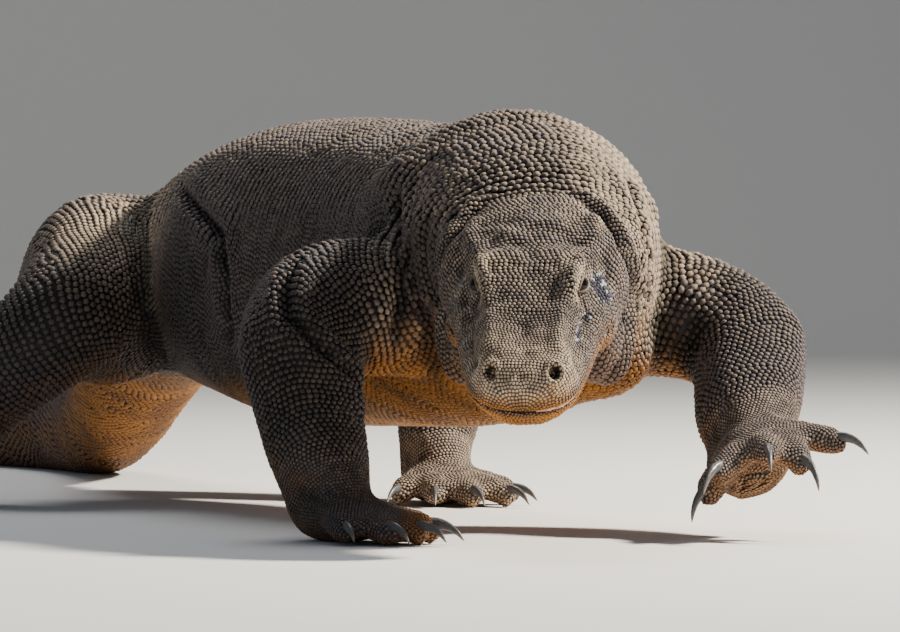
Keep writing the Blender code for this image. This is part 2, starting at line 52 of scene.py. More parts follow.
# ---- sizes (metres, unless said)
HIDE_VOXEL = 0.0062
EYE_RADIUS = 0.0105
EYE_PLACE = (0.037, 0.095, 0.0245)  # in the head's frame, on the right side
HEAD_YAW, HEAD_PITCH = math.radians(31), math.radians(31)
MOUTH_HEIGHT = -0.0125
NOSTRIL = (0.0253, 0.2119, 0.0158)
EAR = (0.07, 0.043, -0.037)
LID_LENGTH, LID_UPPER, LID_LOWER = 0.0094, 0.0041, 0.0036  # the eye's opening, along the ball
PATCH = 0.003  # width of one scale's patch on the bake map
SAME_PLACE = 0.00002  # vertices closer than this are one
SWELL = 0.0006  # how far the flesh is grown before it is fused, so that its parts overlap
SNOUT = (0, 0.225, 0)  # in the head's frame
PUPIL, IRIS = 0.33, 0.62  # their edges, as angles at the middle of the eye
ROOTS_SUNK, HIDE_SUNK = 0.1, 0.16  # how far below their surface they lie, as shares of the spacing
MOST_TRIANGLES = 190000  # in one piece of the coat


# ---- frames
def middle_of(node):
    low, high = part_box(node)
    return (Vector(low) + Vector(high)) / 2


def head_matrix():
    """Matrix from head coordinates (X right, Y forward, Z up) to the model's."""
    level, dip = math.cos(HEAD_PITCH), math.sin(HEAD_PITCH)
    y = Vector((-math.sin(HEAD_YAW) * level, -math.cos(HEAD_YAW) * level, -dip)).normalized()
    x = y.cross(Vector((0, 0, 1))).normalized()
    turn = Matrix((x, y, x.cross(y))).transposed()
    eyes = (middle_of("eye_left") + middle_of("eye_right")) / 2
    nape = eyes - turn @ Vector((0, EYE_PLACE[1], EYE_PLACE[2]))
    return Matrix.Translation(nape) @ turn.to_4x4()


HEAD = head_matrix()
HEAD_TURN = np.array(HEAD.to_3x3())
NAPE = np.array(HEAD.translation)
WITHERS = NAPE - np.array((-0.106, -0.229, 0.243))  # the point under the withers, on the floor


def metres(millimetres):
    """Millimetres as metres, to a ten-thousandth of a millimetre."""
    return np.round(np.array(millimetres) / 1000, 7)


# Centre line of neck, trunk and tail, from the withers' point.
SPINE = metres([
    (-118, -262, 224), (-100, -228, 240), (-62, -150, 250), (-26, -72, 245), (0, 0, 232), (8, 170, 218),
    (12, 400, 214), (18, 660, 210), (28, 760, 200), (46, 870, 168), (72, 985, 122), (104, 1100, 83),
    (132, 1220, 60), (140, 1345, 53), (118, 1480, 46), (60, 1610, 39), (-30, 1715, 32), (-140, 1785, 25),
    (-262, 1818, 18.5), (-375, 1815, 12.5), (-460, 1790, 8),
])
# Shoulder or hip, elbow or knee, and ankle.
JOINTS = {
    "foreleg_right": metres([(-60, 10, 195), (-226, -4, 190), (-232, -86, 56)]),
    "foreleg_left": metres([(55, -10, 200), (183, -86, 174), (123, -181, 94)]),
    "hindleg_right": metres([(-60, 700, 206), (-194, 556, 178), (-285, 668, 50)]),
    "hindleg_left": metres([(70, 700, 198), (222, 572, 190), (161, 482, 54)]),
}
THIGH_FRONT = (-0.126, 0.45, 0.195)  # the front of the right thigh, where shade is painted
THIGH_PAINTED_SUN = (-0.122, 0.592, 0.262)  # a patch of painted sunlight on top of it


def in_head(places):
    """Places as head coordinates."""
    return (places - NAPE) @ HEAD_TURN


def folded_head(places):
    """Places as head coordinates, and the same with the left side folded over the right."""
    h = in_head(places)
    return h, np.stack([np.abs(h[:, 0]), h[:, 1], h[:, 2]], 1)


def length(vectors):
    return np.linalg.norm(vectors, axis=1)


def distance(places, spot, stretch=(1, 1, 1)):
    """How far each place is from a spot, with each axis shortened by its stretch."""
    return length((places - np.array(spot)) / np.array(stretch))


def unit(vectors):
    return vectors / np.maximum(length(vectors), 1e-12)[:, None]


def step(low, high, value):
    """0 below low, 1 above high, smooth between. low may be the larger one."""
    t = np.clip((value - low) / (high - low), 0, 1)
    return t * t * (3 - 2 * t)


def bump(away, width):
    """A bell of height 1 where away is 0."""
    return np.exp(-((away / width) ** 2))


def lattice_noise(places, seed):
    """Smooth noise from -1 to 1 with features about one unit wide."""
    rng = np.random.default_rng(seed)
    table = rng.uniform(-1, 1, (32, 32, 32))
    base = np.floor(places).astype(int)
    t = places - base
    t = t * t * (3 - 2 * t)
    total = np.zeros(len(places))
    for corner in range(8):
        offset = np.array((corner & 1, corner >> 1 & 1, corner >> 2 & 1))
        weight = np.prod(np.where(offset, t, 1 - t), axis=1)
        i, j, k = ((base + offset) % 32).T
        total += weight * table[i, j, k]
    return total


# ---- meshes as arrays
def values_of(data, field, width=3, kind=float):
    """One value of every item of a mesh, as the rows of an array."""
    made = np.empty(len(data) * width, kind)
    data.foreach_get(field, made)
    return made.reshape(-1, width)


class Surface:
    """A mesh of triangles as arrays, with its edges and each vertex's neighbours."""

    def __init__(self, mesh):
        self.places = values_of(mesh.vertices, "co")
        mesh.calc_loop_triangles()
        self.tris = values_of(mesh.loop_triangles, "vertices", kind=int)
        self.a, self.b = values_of(mesh.edges, "vertices", 2, int).T
        self.count = len(self.places)
        self.degree = np.bincount(np.concatenate([self.a, self.b]), minlength=self.count)

    def mean_of_neighbours(self, values):
        sums = np.stack([
            np.bincount(self.a, column[self.b], self.count) + np.bincount(self.b, column[self.a], self.count)
            for column in values.reshape(self.count, -1).T
        ], 1)
        return (sums / self.degree[:, None]).reshape(values.shape)

    def soften(self, rounds, free):
        """Relaxes the surface without shrinking it, each vertex as far as it is free."""
        for i in range(rounds * 2):
            change = self.mean_of_neighbours(self.places) - self.places
            self.places += change * (0.6 if i % 2 == 0 else -0.53) * free[:, None]

    def spread(self, values, rounds):
        """Values, or a choice of vertices, blurred over the surface."""
        values = values.astype(float)
        for _ in range(rounds):
            values = 0.5 * values + 0.5 * self.mean_of_neighbours(values)
        return values

    def gathered(self, vectors):
        """Each vertex's sum of the vectors of the triangles round it."""
        return np.stack([
            sum(np.bincount(self.tris[:, k], column, self.count) for k in range(3)) for column in vectors.T
        ], 1)

    def normals(self):
        a, b, c = (self.places[self.tris[:, k]] for k in range(3))
        return unit(self.gathered(np.cross(b - a, c - a)))

    def move(self, mesh):
        """Takes a mesh's vertices to the places."""
        mesh.vertices.foreach_set("co", self.places.ravel())
        mesh.update()


def opened(mesh):
    """A mesh, held open for editing."""
    bm = bmesh.new()
    bm.from_mesh(mesh)
    return bm


def closed(bm, mesh):
    """Writes what was held open to a mesh, or to a new one of that name."""
    if isinstance(mesh, str):
        mesh = bpy.data.meshes.new(mesh)
    bm.to_mesh(mesh)
    bm.free()
    mesh.update()
    return mesh


def evaluated_mesh(obj):
    graph = bpy.context.evaluated_depsgraph_get()
    return bpy.data.meshes.new_from_object(obj.evaluated_get(graph))


def new_object(name, mesh):
    obj = bpy.data.objects.new(name, mesh)
    bpy.context.scene.collection.objects.link(obj)
    return obj


def modified(mesh, kind, **settings):
    """What a modifier makes of a mesh."""
    obj = new_object("rough", mesh)
    modifier = obj.modifiers.new("change", kind)
    for key, value in settings.items():
        setattr(modifier, key, value)
    made = evaluated_mesh(obj)
    bpy.data.objects.remove(obj)
    return made


def finished(obj, material, replaced=()):
    """Dresses a piece and ties it to the frame."""
    obj.data.materials.clear()
    obj.data.materials.append(material)
    obj.data.shade_smooth()
    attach(obj, "root")
    if replaced:
        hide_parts(*replaced)


def add_attribute(mesh, name, values):
    """Gives every vertex a number, a vector or a colour."""
    width = values.shape[1] if values.ndim > 1 else 1
    kind, field = {1: ("FLOAT", "value"), 3: ("FLOAT_VECTOR", "vector"), 4: ("FLOAT_COLOR", "color")}[width]
    made = mesh.attributes.new(name, kind, "POINT")
    made.data.foreach_set(field, np.ascontiguousarray(values, dtype=np.float32).ravel())


# ---- claws' ends
def foot_of(claw):
    """The foot a claw is on, and its ankle."""
    foot = claw.replace("claw_", "")[:-2]
    return foot, WITHERS + JOINTS[foot.replace("foot", "leg")][2]


def claw_ends(name):
    """Root, tip and heading at the root of one claw node."""
    places = values_of(NODES[name].data.vertices, "co")
    reach = length(places - foot_of(name)[1])
    tip = places[distance(places, places[reach < np.quantile(reach, 0.25)].mean(0)).argmax()]
    away = length(places - tip)
    root = places[away > away.max() * 0.9].mean(0)
    near = places[length(places - root) < 0.016].mean(0)
    return root, tip, (near - root) / np.linalg.norm(near - root)


CLAW_ENDS = {name: claw_ends(name) for name in CLAWS}


def foot_middle(foot):
    """Point among the roots of a foot's claws."""
    return sum((Vector(CLAW_ENDS[f"claw_{foot}_{n}"][0]) for n in (2, 3, 4)), Vector()) / 3


# ---- the hide's surface
def welded(name):
    """A node's mesh held open, with its doubled vertices joined."""
    bm = opened(NODES[name].data)
    bmesh.ops.remove_doubles(bm, verts=bm.verts, dist=SAME_PLACE)
    return bm


def fused_flesh():
    """The flesh nodes joined into one closed surface, with sockets and claw seats filled."""
    whole = bmesh.new()

    def plug(place, radius, finely):
        matrix = Matrix.Translation(place) @ Matrix.Scale(radius, 4)
        bmesh.ops.create_icosphere(whole, subdivisions=finely, radius=1, matrix=matrix)

    for name in FLESH + ["eye_left", "eye_right"]:
        bm = welded(name)
        bm.normal_update()
        for vertex in bm.verts:
            vertex.co += vertex.normal * SWELL
        part = closed(bm, "part")
        whole.from_mesh(part)
        bpy.data.meshes.remove(part)
    for root, _, heading in CLAW_ENDS.values():
        plug(root + heading * 0.0035, 0.0075, 2)
    for limb, joints in JOINTS.items():
        ankle, toes = Vector(WITHERS) + Vector(joints[2]), foot_middle(limb.replace("leg", "foot"))
        plug(ankle + (toes - ankle).normalized() * 0.018, 0.029, 3)
    return modified(closed(whole, "flesh"), "REMESH", mode="VOXEL", voxel_size=HIDE_VOXEL)


def foot_nearness(places):
    """1 on the feet, 0 away from them."""
    near = np.zeros(len(places))
    for name, (root, _, _) in CLAW_ENDS.items():
        ankle = foot_of(name)[1]
        along = np.clip((places - ankle) @ (root - ankle) / ((root - ankle) @ (root - ankle)), 0.1, 1.1)
        away = length(places - (ankle + along[:, None] * (root - ankle)))
        near = np.maximum(near, step(0.04, 0.024, away))
    return near


def tip_nearness(places):
    """1 near the tip of the tail, 0 away from it."""
    return step(0.17, 0.08, distance(places - WITHERS, SPINE[-1]))


def head_nearness(places):
    h, folded = folded_head(places)
    return step(-0.02, 0.02, h[:, 1]) * step(0.11, 0.09, folded[:, 0])


def small_parts(places, tip_share=1):
    """1 on the feet and head and, to a share, near the tail's tip."""
    return np.max([foot_nearness(places), head_nearness(places), tip_share * tip_nearness(places)], axis=0)


def refined(mesh, chosen):
    """The mesh with the edges between chosen vertices halved."""
    bm = opened(mesh)
    edges = [e for e in bm.edges if chosen[e.verts[0].index] and chosen[e.verts[1].index]]
    bmesh.ops.subdivide_edges(bm, edges=edges, cuts=1, use_grid_fill=True)
    bmesh.ops.triangulate(bm, faces=[f for f in bm.faces if len(f.verts) > 4])
    closed(bm, mesh)


def soften_mesh(mesh, rounds, free_of):
    surface = Surface(mesh)
    surface.soften(rounds, free_of(surface.places))
    surface.move(mesh)


def near_features(places, reach, with_mouth):
    """True near the eyes, nostrils and ears, and near the mouth if asked."""
    h, folded = folded_head(places)
    chosen = np.zeros(len(h), bool)
    for spot, radius in (((0.042, 0.095, 0.0265), 0.018), (NOSTRIL, 0.012), (EAR, 0.01)):
        chosen |= distance(folded, spot) < radius * reach
    mouth = (np.abs(above_mouth(h)) < 0.0055) & (h[:, 1] > 0.062) & (folded[:, 0] < 0.08)
    return chosen | mouth if with_mouth else chosen


def above_mouth(h):
    """Height over the mouth's slit, which drops behind the eye."""
    return h[:, 2] - (MOUTH_HEIGHT - 0.01 * step(0.12, 0.06, h[:, 1]))


def base_surface():
    """The hide's mesh before sculpting: smooth, and finer on the feet, the head and the tail's tip."""
    mesh = fused_flesh()

    def body(places):
        near = np.maximum(foot_nearness(places), 0.75 * head_nearness(places))
        return 1 - 0.8 * np.maximum(near, 1.1 * tip_nearness(places))

    soften_mesh(mesh, 70, body)
    refined(mesh, small_parts(values_of(mesh.vertices, "co")) > 0.5)
    soften_mesh(mesh, 8, lambda places: small_parts(places, 0.5))
    for reach, with_mouth in ((1.0, True), (0.75, False)):
        refined(mesh, near_features(values_of(mesh.vertices, "co"), reach, with_mouth))
    soften_mesh(mesh, 3, lambda places: near_features(places, 1.0, True).astype(float))
    bm = opened(mesh)
    bmesh.ops.triangulate(bm, faces=bm.faces)
    return closed(bm, mesh)


# ---- sculpting
def to_polyline(places, points):
    """Distance from each place to a line of points, and how far along it is, from 0 to 1."""
    points = np.array(points, float)
    lengths = length(np.diff(points, axis=0))
    best = np.full(len(places), 1e9)
    share = np.zeros(len(places))
    before = 0
    for a, b, long in zip(points, points[1:], lengths):
        t = np.clip((places - a) @ (b - a) / long**2, 0, 1)
        away = length(places - (a + t[:, None] * (b - a)))
        closer = away < best
        best = np.where(closer, away, best)
        share = np.where(closer, (before + t * long) / lengths.sum(), share)
        before += long
    return best, share


def ends_fade(share):
    return step(0, 0.18, share) * step(1, 0.82, share)


# Folds of the skin, in millimetres: line of the crease from the withers' point, half width, depth,
# and the height of the roll beside it.
BODY_FOLDS = [
    ([(-219, -15, 242), (-243, -40, 205), (-249, -56, 186), (-231, -77, 161), (-215, -81, 147),
      (-196, -77, 128), (-170, -65, 112)], 7.5, 7.8, 5.6),
    ([(-89, 525, 300), (-102, 481, 293), (-110, 446, 285), (-122, 381, 267), (-125, 347, 254),
      (-128, 329, 215), (-122, 332, 172), (-113, 362, 145)], 9.5, 8, 3.5),
    ([(113, 525, 300), (126, 481, 293), (134, 446, 285), (146, 381, 267), (149, 347, 254),
      (152, 329, 215), (147, 332, 172), (137, 362, 145)], 12, 4.5, 2.5),
    ([(-108, 20, 300), (-115, 4, 282), (-126, -29, 256), (-135, -41, 230), (-145, -53, 200),
      (-147, -52, 175), (-138, -56, 142)], 8.5, 6.8, 4),
    ([(-128, -80, 290), (-142, -98, 273), (-150, -106, 245), (-146, -102, 212), (-132, -96, 185)],
     7, 6.8, 4.2),
    ([(85, -80, 305), (98, -100, 280), (108, -114, 250), (112, -118, 215), (100, -118, 180)], 8, 7, 4.2),
    ([(29, -125, 315), (-2, -204, 285), (-19, -251, 252), (5, -212, 218), (38, -147, 188)], 6.5, 5, 3.5),
    ([(-132, -65, 275), (-139, -72, 247), (-132, -53, 222), (-132, -55, 196)], 6, 4.5, 3),
    ([(60, -250, 46), (66.5, -247.3, 47.5), (87.3, -239.7, 55.2), (105.6, -241.5, 55.8), (113, -244, 59)],
     3.4, 4.2, 1.8),
    ([(76, -235, 42), (95.7, -219.9, 40), (106.5, -226.5, 44.2), (114.5, -237.8, 54.6)], 3.4, 3.6, 1.8),
    ([(87.3, -239.7, 55.2), (92, -230, 47), (95.7, -219.9, 40)], 3.4, 3.6, 1.6),
]
# Swellings and hollows, in metres: middle, width and height.
BODY_LUMPS = [
    ((-0.122, 0.455, 0.225), 0.07, 0.005), ((0.146, 0.455, 0.225), 0.07, 0.005),
    ((-0.165, 0.01, 0.235), 0.045, 0.003), ((0.15, -0.03, 0.225), 0.045, 0.003),
    ((-0.045, 0.08, 0.353), 0.05, -0.008), ((0.0, 0.165, 0.358), 0.055, -0.008),
    ((0.068, -0.12, 0.275), 0.05, -0.006),
]
# The roll of skin behind the jaws, in the head's frame and on both its sides.
HOOD = metres([
    (26, -46, 38), (45, -36, 34), (63.6, -6, 26.1), (73, 13, 16), (79, 14, -8), (79, 12, -30),
    (76, 22, -50), (74, 35, -66), (68, 46, -85), (50, 58, -98),
])


def from_nostril(folded):
    """Distance from the nostril, in its own oval."""
    return distance(folded, NOSTRIL, (0.85, 1.2, 1.1))


def from_ear(folded, wide, tall):
    """Distance from the middle of the ear's slit: 1 at its edge, which is wide and tall."""
    ear = folded - np.array(EAR)
    return np.hypot(ear[:, 1] / wide, (ear[:, 2] + 0.3 * ear[:, 1]) / tall)


def sculpt_head(surface):
    """Brows, eye hollows, nostrils, lips and the creases behind the jaw."""
    h, folded = folded_head(surface.places)
    right, ahead, up = h.T
    rise = np.zeros(surface.count)
    # Brow ridge over the eye, the ridge on to the nostril, and the hollows beside them.
    brow, share = to_polyline(folded, [
        (0.028, 0.134, 0.03), (0.037, 0.112, 0.041), (0.041, 0.092, 0.043), (0.043, 0.07, 0.036)])
    rise += 0.0074 * bump(brow, 0.0068) * ends_fade(share)
    rise += 0.0026 * bump(distance(folded, (0.022, 0.082, 0.044)), 0.01)
    canthus, share = to_polyline(folded, [
        (0.029, 0.132, 0.03), (0.027, 0.165, 0.026), (0.026, 0.196, 0.022)])
    rise += 0.0056 * bump(canthus, 0.0062) * step(1, 0.7, share)
    hollow, _ = to_polyline(folded, [(0.046, 0.126, 0.012), (0.042, 0.16, 0.008), (0.04, 0.185, 0.006)])
    rise -= 0.0068 * bump(hollow, 0.01)
    rise -= 0.0048 * bump(distance(folded, (0.046, 0.1, 0.012)), 0.009)
    rise -= 0.003 * bump(np.hypot(right, (ahead - 0.165) * 0.35), 0.013) * (up > 0)
    rise -= 0.0022 * bump(distance(h, (-0.003, 0.196, 0.022)), 0.0045)
    # Edge of the crown behind the brow, the hollow of the temple below it, and the jaw muscle.
    edge, share = to_polyline(folded, [
        (0.043, 0.074, 0.037), (0.05, 0.05, 0.036), (0.052, 0.02, 0.036), (0.048, -0.004, 0.038)])
    rise += 0.005 * bump(edge, 0.008) * ends_fade(share)
    rise -= 0.0034 * bump(distance(folded, (0.068, 0.058, 0.016), (1, 1.6, 1.1)), 0.014)
    rise += 0.0012 * bump(distance(folded, (0.07, 0.045, 0.0), (1, 1.4, 1.2)), 0.02)
    # The hood: a roll of skin behind the jaws, a sharp crease before it and a soft one behind.
    roll, share = to_polyline(folded, HOOD)
    ends = step(0, 0.1, share) * step(1, 0.9, share)
    crease, _ = to_polyline(folded, HOOD + np.array((-0.004, 0.0125, 0.003)))
    behind, _ = to_polyline(folded, HOOD + np.array((0.002, -0.015, -0.002)))
    raised = 0.0078 * bump(roll, 0.006) - 0.0056 * bump(crease, 0.0034)
    rise += ends * (raised - 0.004 * bump(behind, 0.0045))
    # The ear's slit and its rim.
    ear = from_ear(folded, 0.0022, 0.008)
    rise -= 0.006 * bump(ear, 1.0)
    rise += 0.0012 * bump(ear - 2.2, 0.7)
    # Lumps of the crown and muzzle.
    top = step(0.0, 0.012, up) * step(0.0, 0.03, ahead)
    rise += top * (0.0015 * lattice_noise(h / 0.01 + 40, 3) + 0.0022 * lattice_noise(h / 0.022 + 40, 4))
    # Lips, and the slit between them.
    line = above_mouth(h)
    mouth = step(0.058, 0.078, ahead)
    rise += mouth * 0.0012 * (bump(line - 0.0042, 0.003) + bump(line + 0.0042, 0.003))
    rise -= mouth * 0.0034 * bump(line, 0.0011)
    # Nostrils and their rims.
    nostril = from_nostril(folded)
    rise += 0.0024 * bump(nostril - 0.0074, 0.0024)
    rise -= 0.009 * bump(nostril, 0.0041)
    surface.places += surface.normals() * (rise * (ahead > -0.06))[:, None]


def eye_axes(side):
    """Centre, outward, forward and upward directions of one eye, in the model's frame."""
    turn = Matrix(HEAD_TURN)
    out = Vector((side * 0.86, 0.3, 0.4)).normalized()
    along = Vector((side * -0.1, 1.0, -0.16))
    along = (along - out * along.dot(out)).normalized()
    up = along.cross(out) * -side
    centre = HEAD @ Vector((side * EYE_PLACE[0], EYE_PLACE[1], EYE_PLACE[2]))
    return np.array(centre), np.array(turn @ out), np.array(turn @ along), np.array(turn @ up)


def lid_height(u, upper):
    """Half height of the eye's opening at u along it, for the upper or the lower lid."""
    full = np.where(upper, LID_UPPER, LID_LOWER)
    return full * np.clip(1 - (np.abs(u) / LID_LENGTH) ** 2, 0, 1) ** 0.85


def lid_distance(places, side):
    """How far each place is outside the edge of one eye's opening, negative inside it."""
    centre, out, along, up = eye_axes(side)
    away = places - centre
    reach = length(away)
    flat = np.stack([away @ along, away @ up], 1)
    angle = np.arctan2(length(flat), away @ out)
    u, v = (unit(flat) * (angle * EYE_RADIUS)[:, None]).T
    past = np.maximum(np.abs(u) - LID_LENGTH, 0)
    gap = np.where(past > 0, np.hypot(past, v), np.abs(v) - lid_height(u, v > 0))
    return gap, away, reach


def sculpt_lids(surface):
    for side in SIDES.values():
        gap, away, reach = lid_distance(surface.places, side)
        near = (reach < 0.026) & (gap < 0.012)
        inside = EYE_RADIUS - 0.0016
        rim = EYE_RADIUS + 0.0009 + 0.1 * np.clip(gap, 0, 0.01)
        as_it_was = step(0.0015, 0.0075, gap)
        wanted = np.where(gap < 0, inside, rim * (1 - as_it_was) + reach * as_it_was)
        # The crease that sets the lids off from the brow.
        wanted = wanted - 0.0007 * bump(gap - 0.0046, 0.0011)
        scale = np.where(near, wanted / np.maximum(reach, 1e-9), 1)
        surface.places += away * (scale - 1)[:, None]


def sculpt_body(surface, names, far):
    """Creases and rolls, slack flanks, and folds round the neck."""
    local = surface.places - WITHERS
    left, back, high = local.T
    normals = surface.normals()
    rise = np.zeros(surface.count)
    for points, *sizes in BODY_FOLDS:
        away, share = to_polyline(local, metres(points))
        width, depth, roll = metres(sizes)
        raised = roll * bump(away - width * 1.7, width)
        rise += ends_fade(share) * (raised - depth * bump(away, width * 0.6))
    for spot, width, height in BODY_LUMPS:
        rise += height * bump(distance(local, spot), width)
    trunk = surface.spread(names == "trunk", 10)
    neck = surface.spread(names == "neck", 10)
    side = step(0.85, 0.35, np.abs(normals[:, 2]))
    # Slack skin of the flanks, in slanting wrinkles.
    slant = np.stack([left * 8, (back + 0.35 * high) * 62, high * 16], 1)
    mask = trunk * side * step(0.06, 0.16, back) * step(0.6, 0.5, back)
    rise += 0.0013 * mask * lattice_noise(slant + 40, 5)
    # Folds round the neck and throat, deeper below.
    lower = step(0.75, 0.1, normals[:, 2])
    wave = np.sin(2 * math.pi * far / 0.03 + 1.8 * lattice_noise(local * 18 + 40, 6))
    rise += 0.0022 * neck * lower * wave
    surface.places += normals * rise[:, None]


# ---- which part of the body
def body_parts(places):
    """Name of the flesh node nearest to each place."""
    corners, faces, owner = [], [], []
    for name in FLESH:
        mesh = NODES[name].data
        mesh.calc_loop_triangles()
        faces += [tuple(i + len(corners) for i in t.vertices) for t in mesh.loop_triangles]
        corners += [v.co.copy() for v in mesh.vertices]
        owner += [name] * len(mesh.loop_triangles)
    tree = BVHTree.FromPolygons(corners, faces)
    return np.array([owner[tree.find_nearest(p)[2]] for p in places.tolist()])


def with_word(names, word):
    return np.char.find(names, word) >= 0


START = {"fore": 0.44, "hind": 1.14}  # how far from the snout each pair of legs begins


def along_body(places, names):
    """How far each place is from the snout, in metres along spine, limb and digit."""
    snout = NAPE + HEAD_TURN @ np.array(SNOUT) - WITHERS
    spine = np.vstack([snout, SPINE]) + WITHERS
    far = to_polyline(places, spine)[1] * length(np.diff(spine, axis=0)).sum()
    for limb, joints in JOINTS.items():
        points = joints + WITHERS
        leg = length(np.diff(points, axis=0)).sum()
        best = np.full(len(places), 1e9)
        value = np.zeros(len(places))
        for number in range(1, 6):
            root, _, heading = CLAW_ENDS[f"claw_{limb.replace('leg', 'foot')}_{number}"]
            line = np.vstack([points, root + heading * 0.01])
            long = leg + np.linalg.norm(line[-1] - line[-2])
            away, share = to_polyline(places, line)
            closer = away < best
            best = np.where(closer, away, best)
            value = np.where(closer, START[limb[:4]] + share * long, value)
        far = np.where(with_word(np.char.replace(names, "foot", "leg"), limb), value, far)
    return far


# Row spacing of the scales on each part, in metres.
PITCH = {
    "head": 0.0042, "lower_jaw": 0.005, "neck": 0.0066, "trunk": 0.0067, "tail_base": 0.0076,
    "tail_middle": 0.0076, "tail_rear": 0.0064,
    "foreleg_right_upper": 0.0068, "foreleg_right_lower": 0.006, "forefoot_right": 0.0034,
    "foreleg_left_upper": 0.0064, "foreleg_left_lower": 0.006, "forefoot_left": 0.0034,
    "hindleg_right_thigh": 0.0068, "hindleg_right_shank": 0.0064, "hindfoot_right": 0.0038,
    "hindleg_left_thigh": 0.007, "hindleg_left_shank": 0.006, "hindfoot_left": 0.0036,
}
ROW = 0.88  # spacing of the rows against that of the scales along them
OPEN_ROW = 0.02  # a row whose ends are farther apart than this isn't a ring
CROWDED, ROW_CROWDED = 0.78, 0.66  # least share of the spacing, to a filler and to another in the rows


def pitch_of(surface, names):
    """Spacing of the scales at each vertex."""
    pitch = surface.spread(np.array([PITCH[name] for name in names]), 14)
    local = surface.places - WITHERS
    back = local[:, 1]
    pitch *= np.minimum(1, 0.38 + 0.62 * distance(local, SPINE[-1]) / 0.32)
    h = in_head(surface.places)
    ahead = h[:, 1]
    on_head = head_nearness(surface.places)
    pitch += 0.0008 * step(0.17, 0.215, ahead) * on_head
    # Larger on top of the neck and on the thigh's front, finer on the flanks.
    upward = surface.normals()[:, 2]
    flank = surface.spread(names == "trunk", 10)
    flank = flank * step(0.92, 0.55, np.abs(upward)) * step(0.08, 0.16, back)
    neck = surface.spread(np.isin(names, ("neck", "trunk")), 10)
    pitch += 0.0006 * neck * step(0.1, 0.5, upward) * step(0.08, -0.02, back)
    pitch -= 0.0018 * flank * step(0.6, 0.5, back)
    pitch += 0.0014 * bump(distance(local, THIGH_FRONT), 0.095)
    # Finest round the eyes and along the lips.
    for side in SIDES.values():
        pitch *= 1 - 0.36 * step(0.014, 0.003, lid_distance(surface.places, side)[0])
    pitch *= 1 - 0.22 * on_head * step(0.012, 0.004, np.abs(above_mouth(h))) * step(0.06, 0.09, ahead)
    return pitch


# ---- the lie of the scales
class Lie:
    """A field over the surface that grows by one for every row of scales."""

    def __init__(self, surface, far, pitch):
        self.surface = surface
        corner = [surface.places[surface.tris[:, k]] for k in range(3)]
        face = np.cross(corner[1] - corner[0], corner[2] - corner[0])
        self.double = np.maximum(length(face), 1e-14)
        flat = face / self.double[:, None]
        self.opposite = [np.cross(flat, corner[(k + 2) % 3] - corner[(k + 1) % 3]) for k in range(3)]
        smooth = surface.spread(far, 60)
        slope = unit(self.slope(smooth))
        slope /= ROW * pitch[surface.tris].mean(1)[:, None]
        self.rows = self.solved(slope, smooth / pitch.mean() / ROW)

    def slope(self, values):
        total = sum(values[self.surface.tris[:, k]][:, None] * self.opposite[k] for k in range(3))
        return total / self.double[:, None]

    def solved(self, slope, guess, rounds=420):
        """The field whose slope is nearest to the one wanted, by conjugate gradients."""
        places, tris, count = self.surface.places, self.surface.tris, self.surface.count
        heads, tails, weights = [], [], []
        for k in range(3):
            i, j = tris[:, (k + 1) % 3], tris[:, (k + 2) % 3]
            u, v = places[i] - places[tris[:, k]], places[j] - places[tris[:, k]]
            weights.append(np.clip((u * v).sum(1) / self.double, 0.02, 5) / 2)
            heads.append(i)
            tails.append(j)
        i, j, w = np.concatenate(heads), np.concatenate(tails), np.concatenate(weights)
        diagonal = np.bincount(i, w, count) + np.bincount(j, w, count)

        def applied(x):
            return diagonal * x - np.bincount(i, w * x[j], count) - np.bincount(j, w * x[i], count)

        target = sum(np.bincount(tris[:, k], (self.opposite[k] * slope).sum(1) / 2, count) for k in range(3))
        x = guess.copy()
        left = target - applied(x)
        ready = left / diagonal
        way = ready.copy()
        size = left @ ready
        for _ in range(rounds):
            moved = applied(way)
            share = size / (way @ moved)
            x += share * way
            left -= share * moved
            ready = left / diagonal
            new = left @ ready
            way = ready + way * (new / size)
            size = new
        return x

    def directions(self):
        """The unit direction towards the tail or toes, at each vertex."""
        return unit(self.surface.gathered(self.slope(self.rows) * self.double[:, None]))


def whole_numbers(least, most):
    """The first and last whole numbers above least and up to most, and a list of them all:
    where each one's share of the list starts, whose each number is, and the numbers."""
    first = np.floor(least).astype(int) + 1
    last = np.floor(most).astype(int)
    many = np.maximum(last - first + 1, 0)
    starts = np.concatenate([[0], np.cumsum(many)])
    owner = np.repeat(np.arange(len(first)), many)
    return first, last, starts, owner, first[owner] + np.arange(len(owner)) - starts[owner]


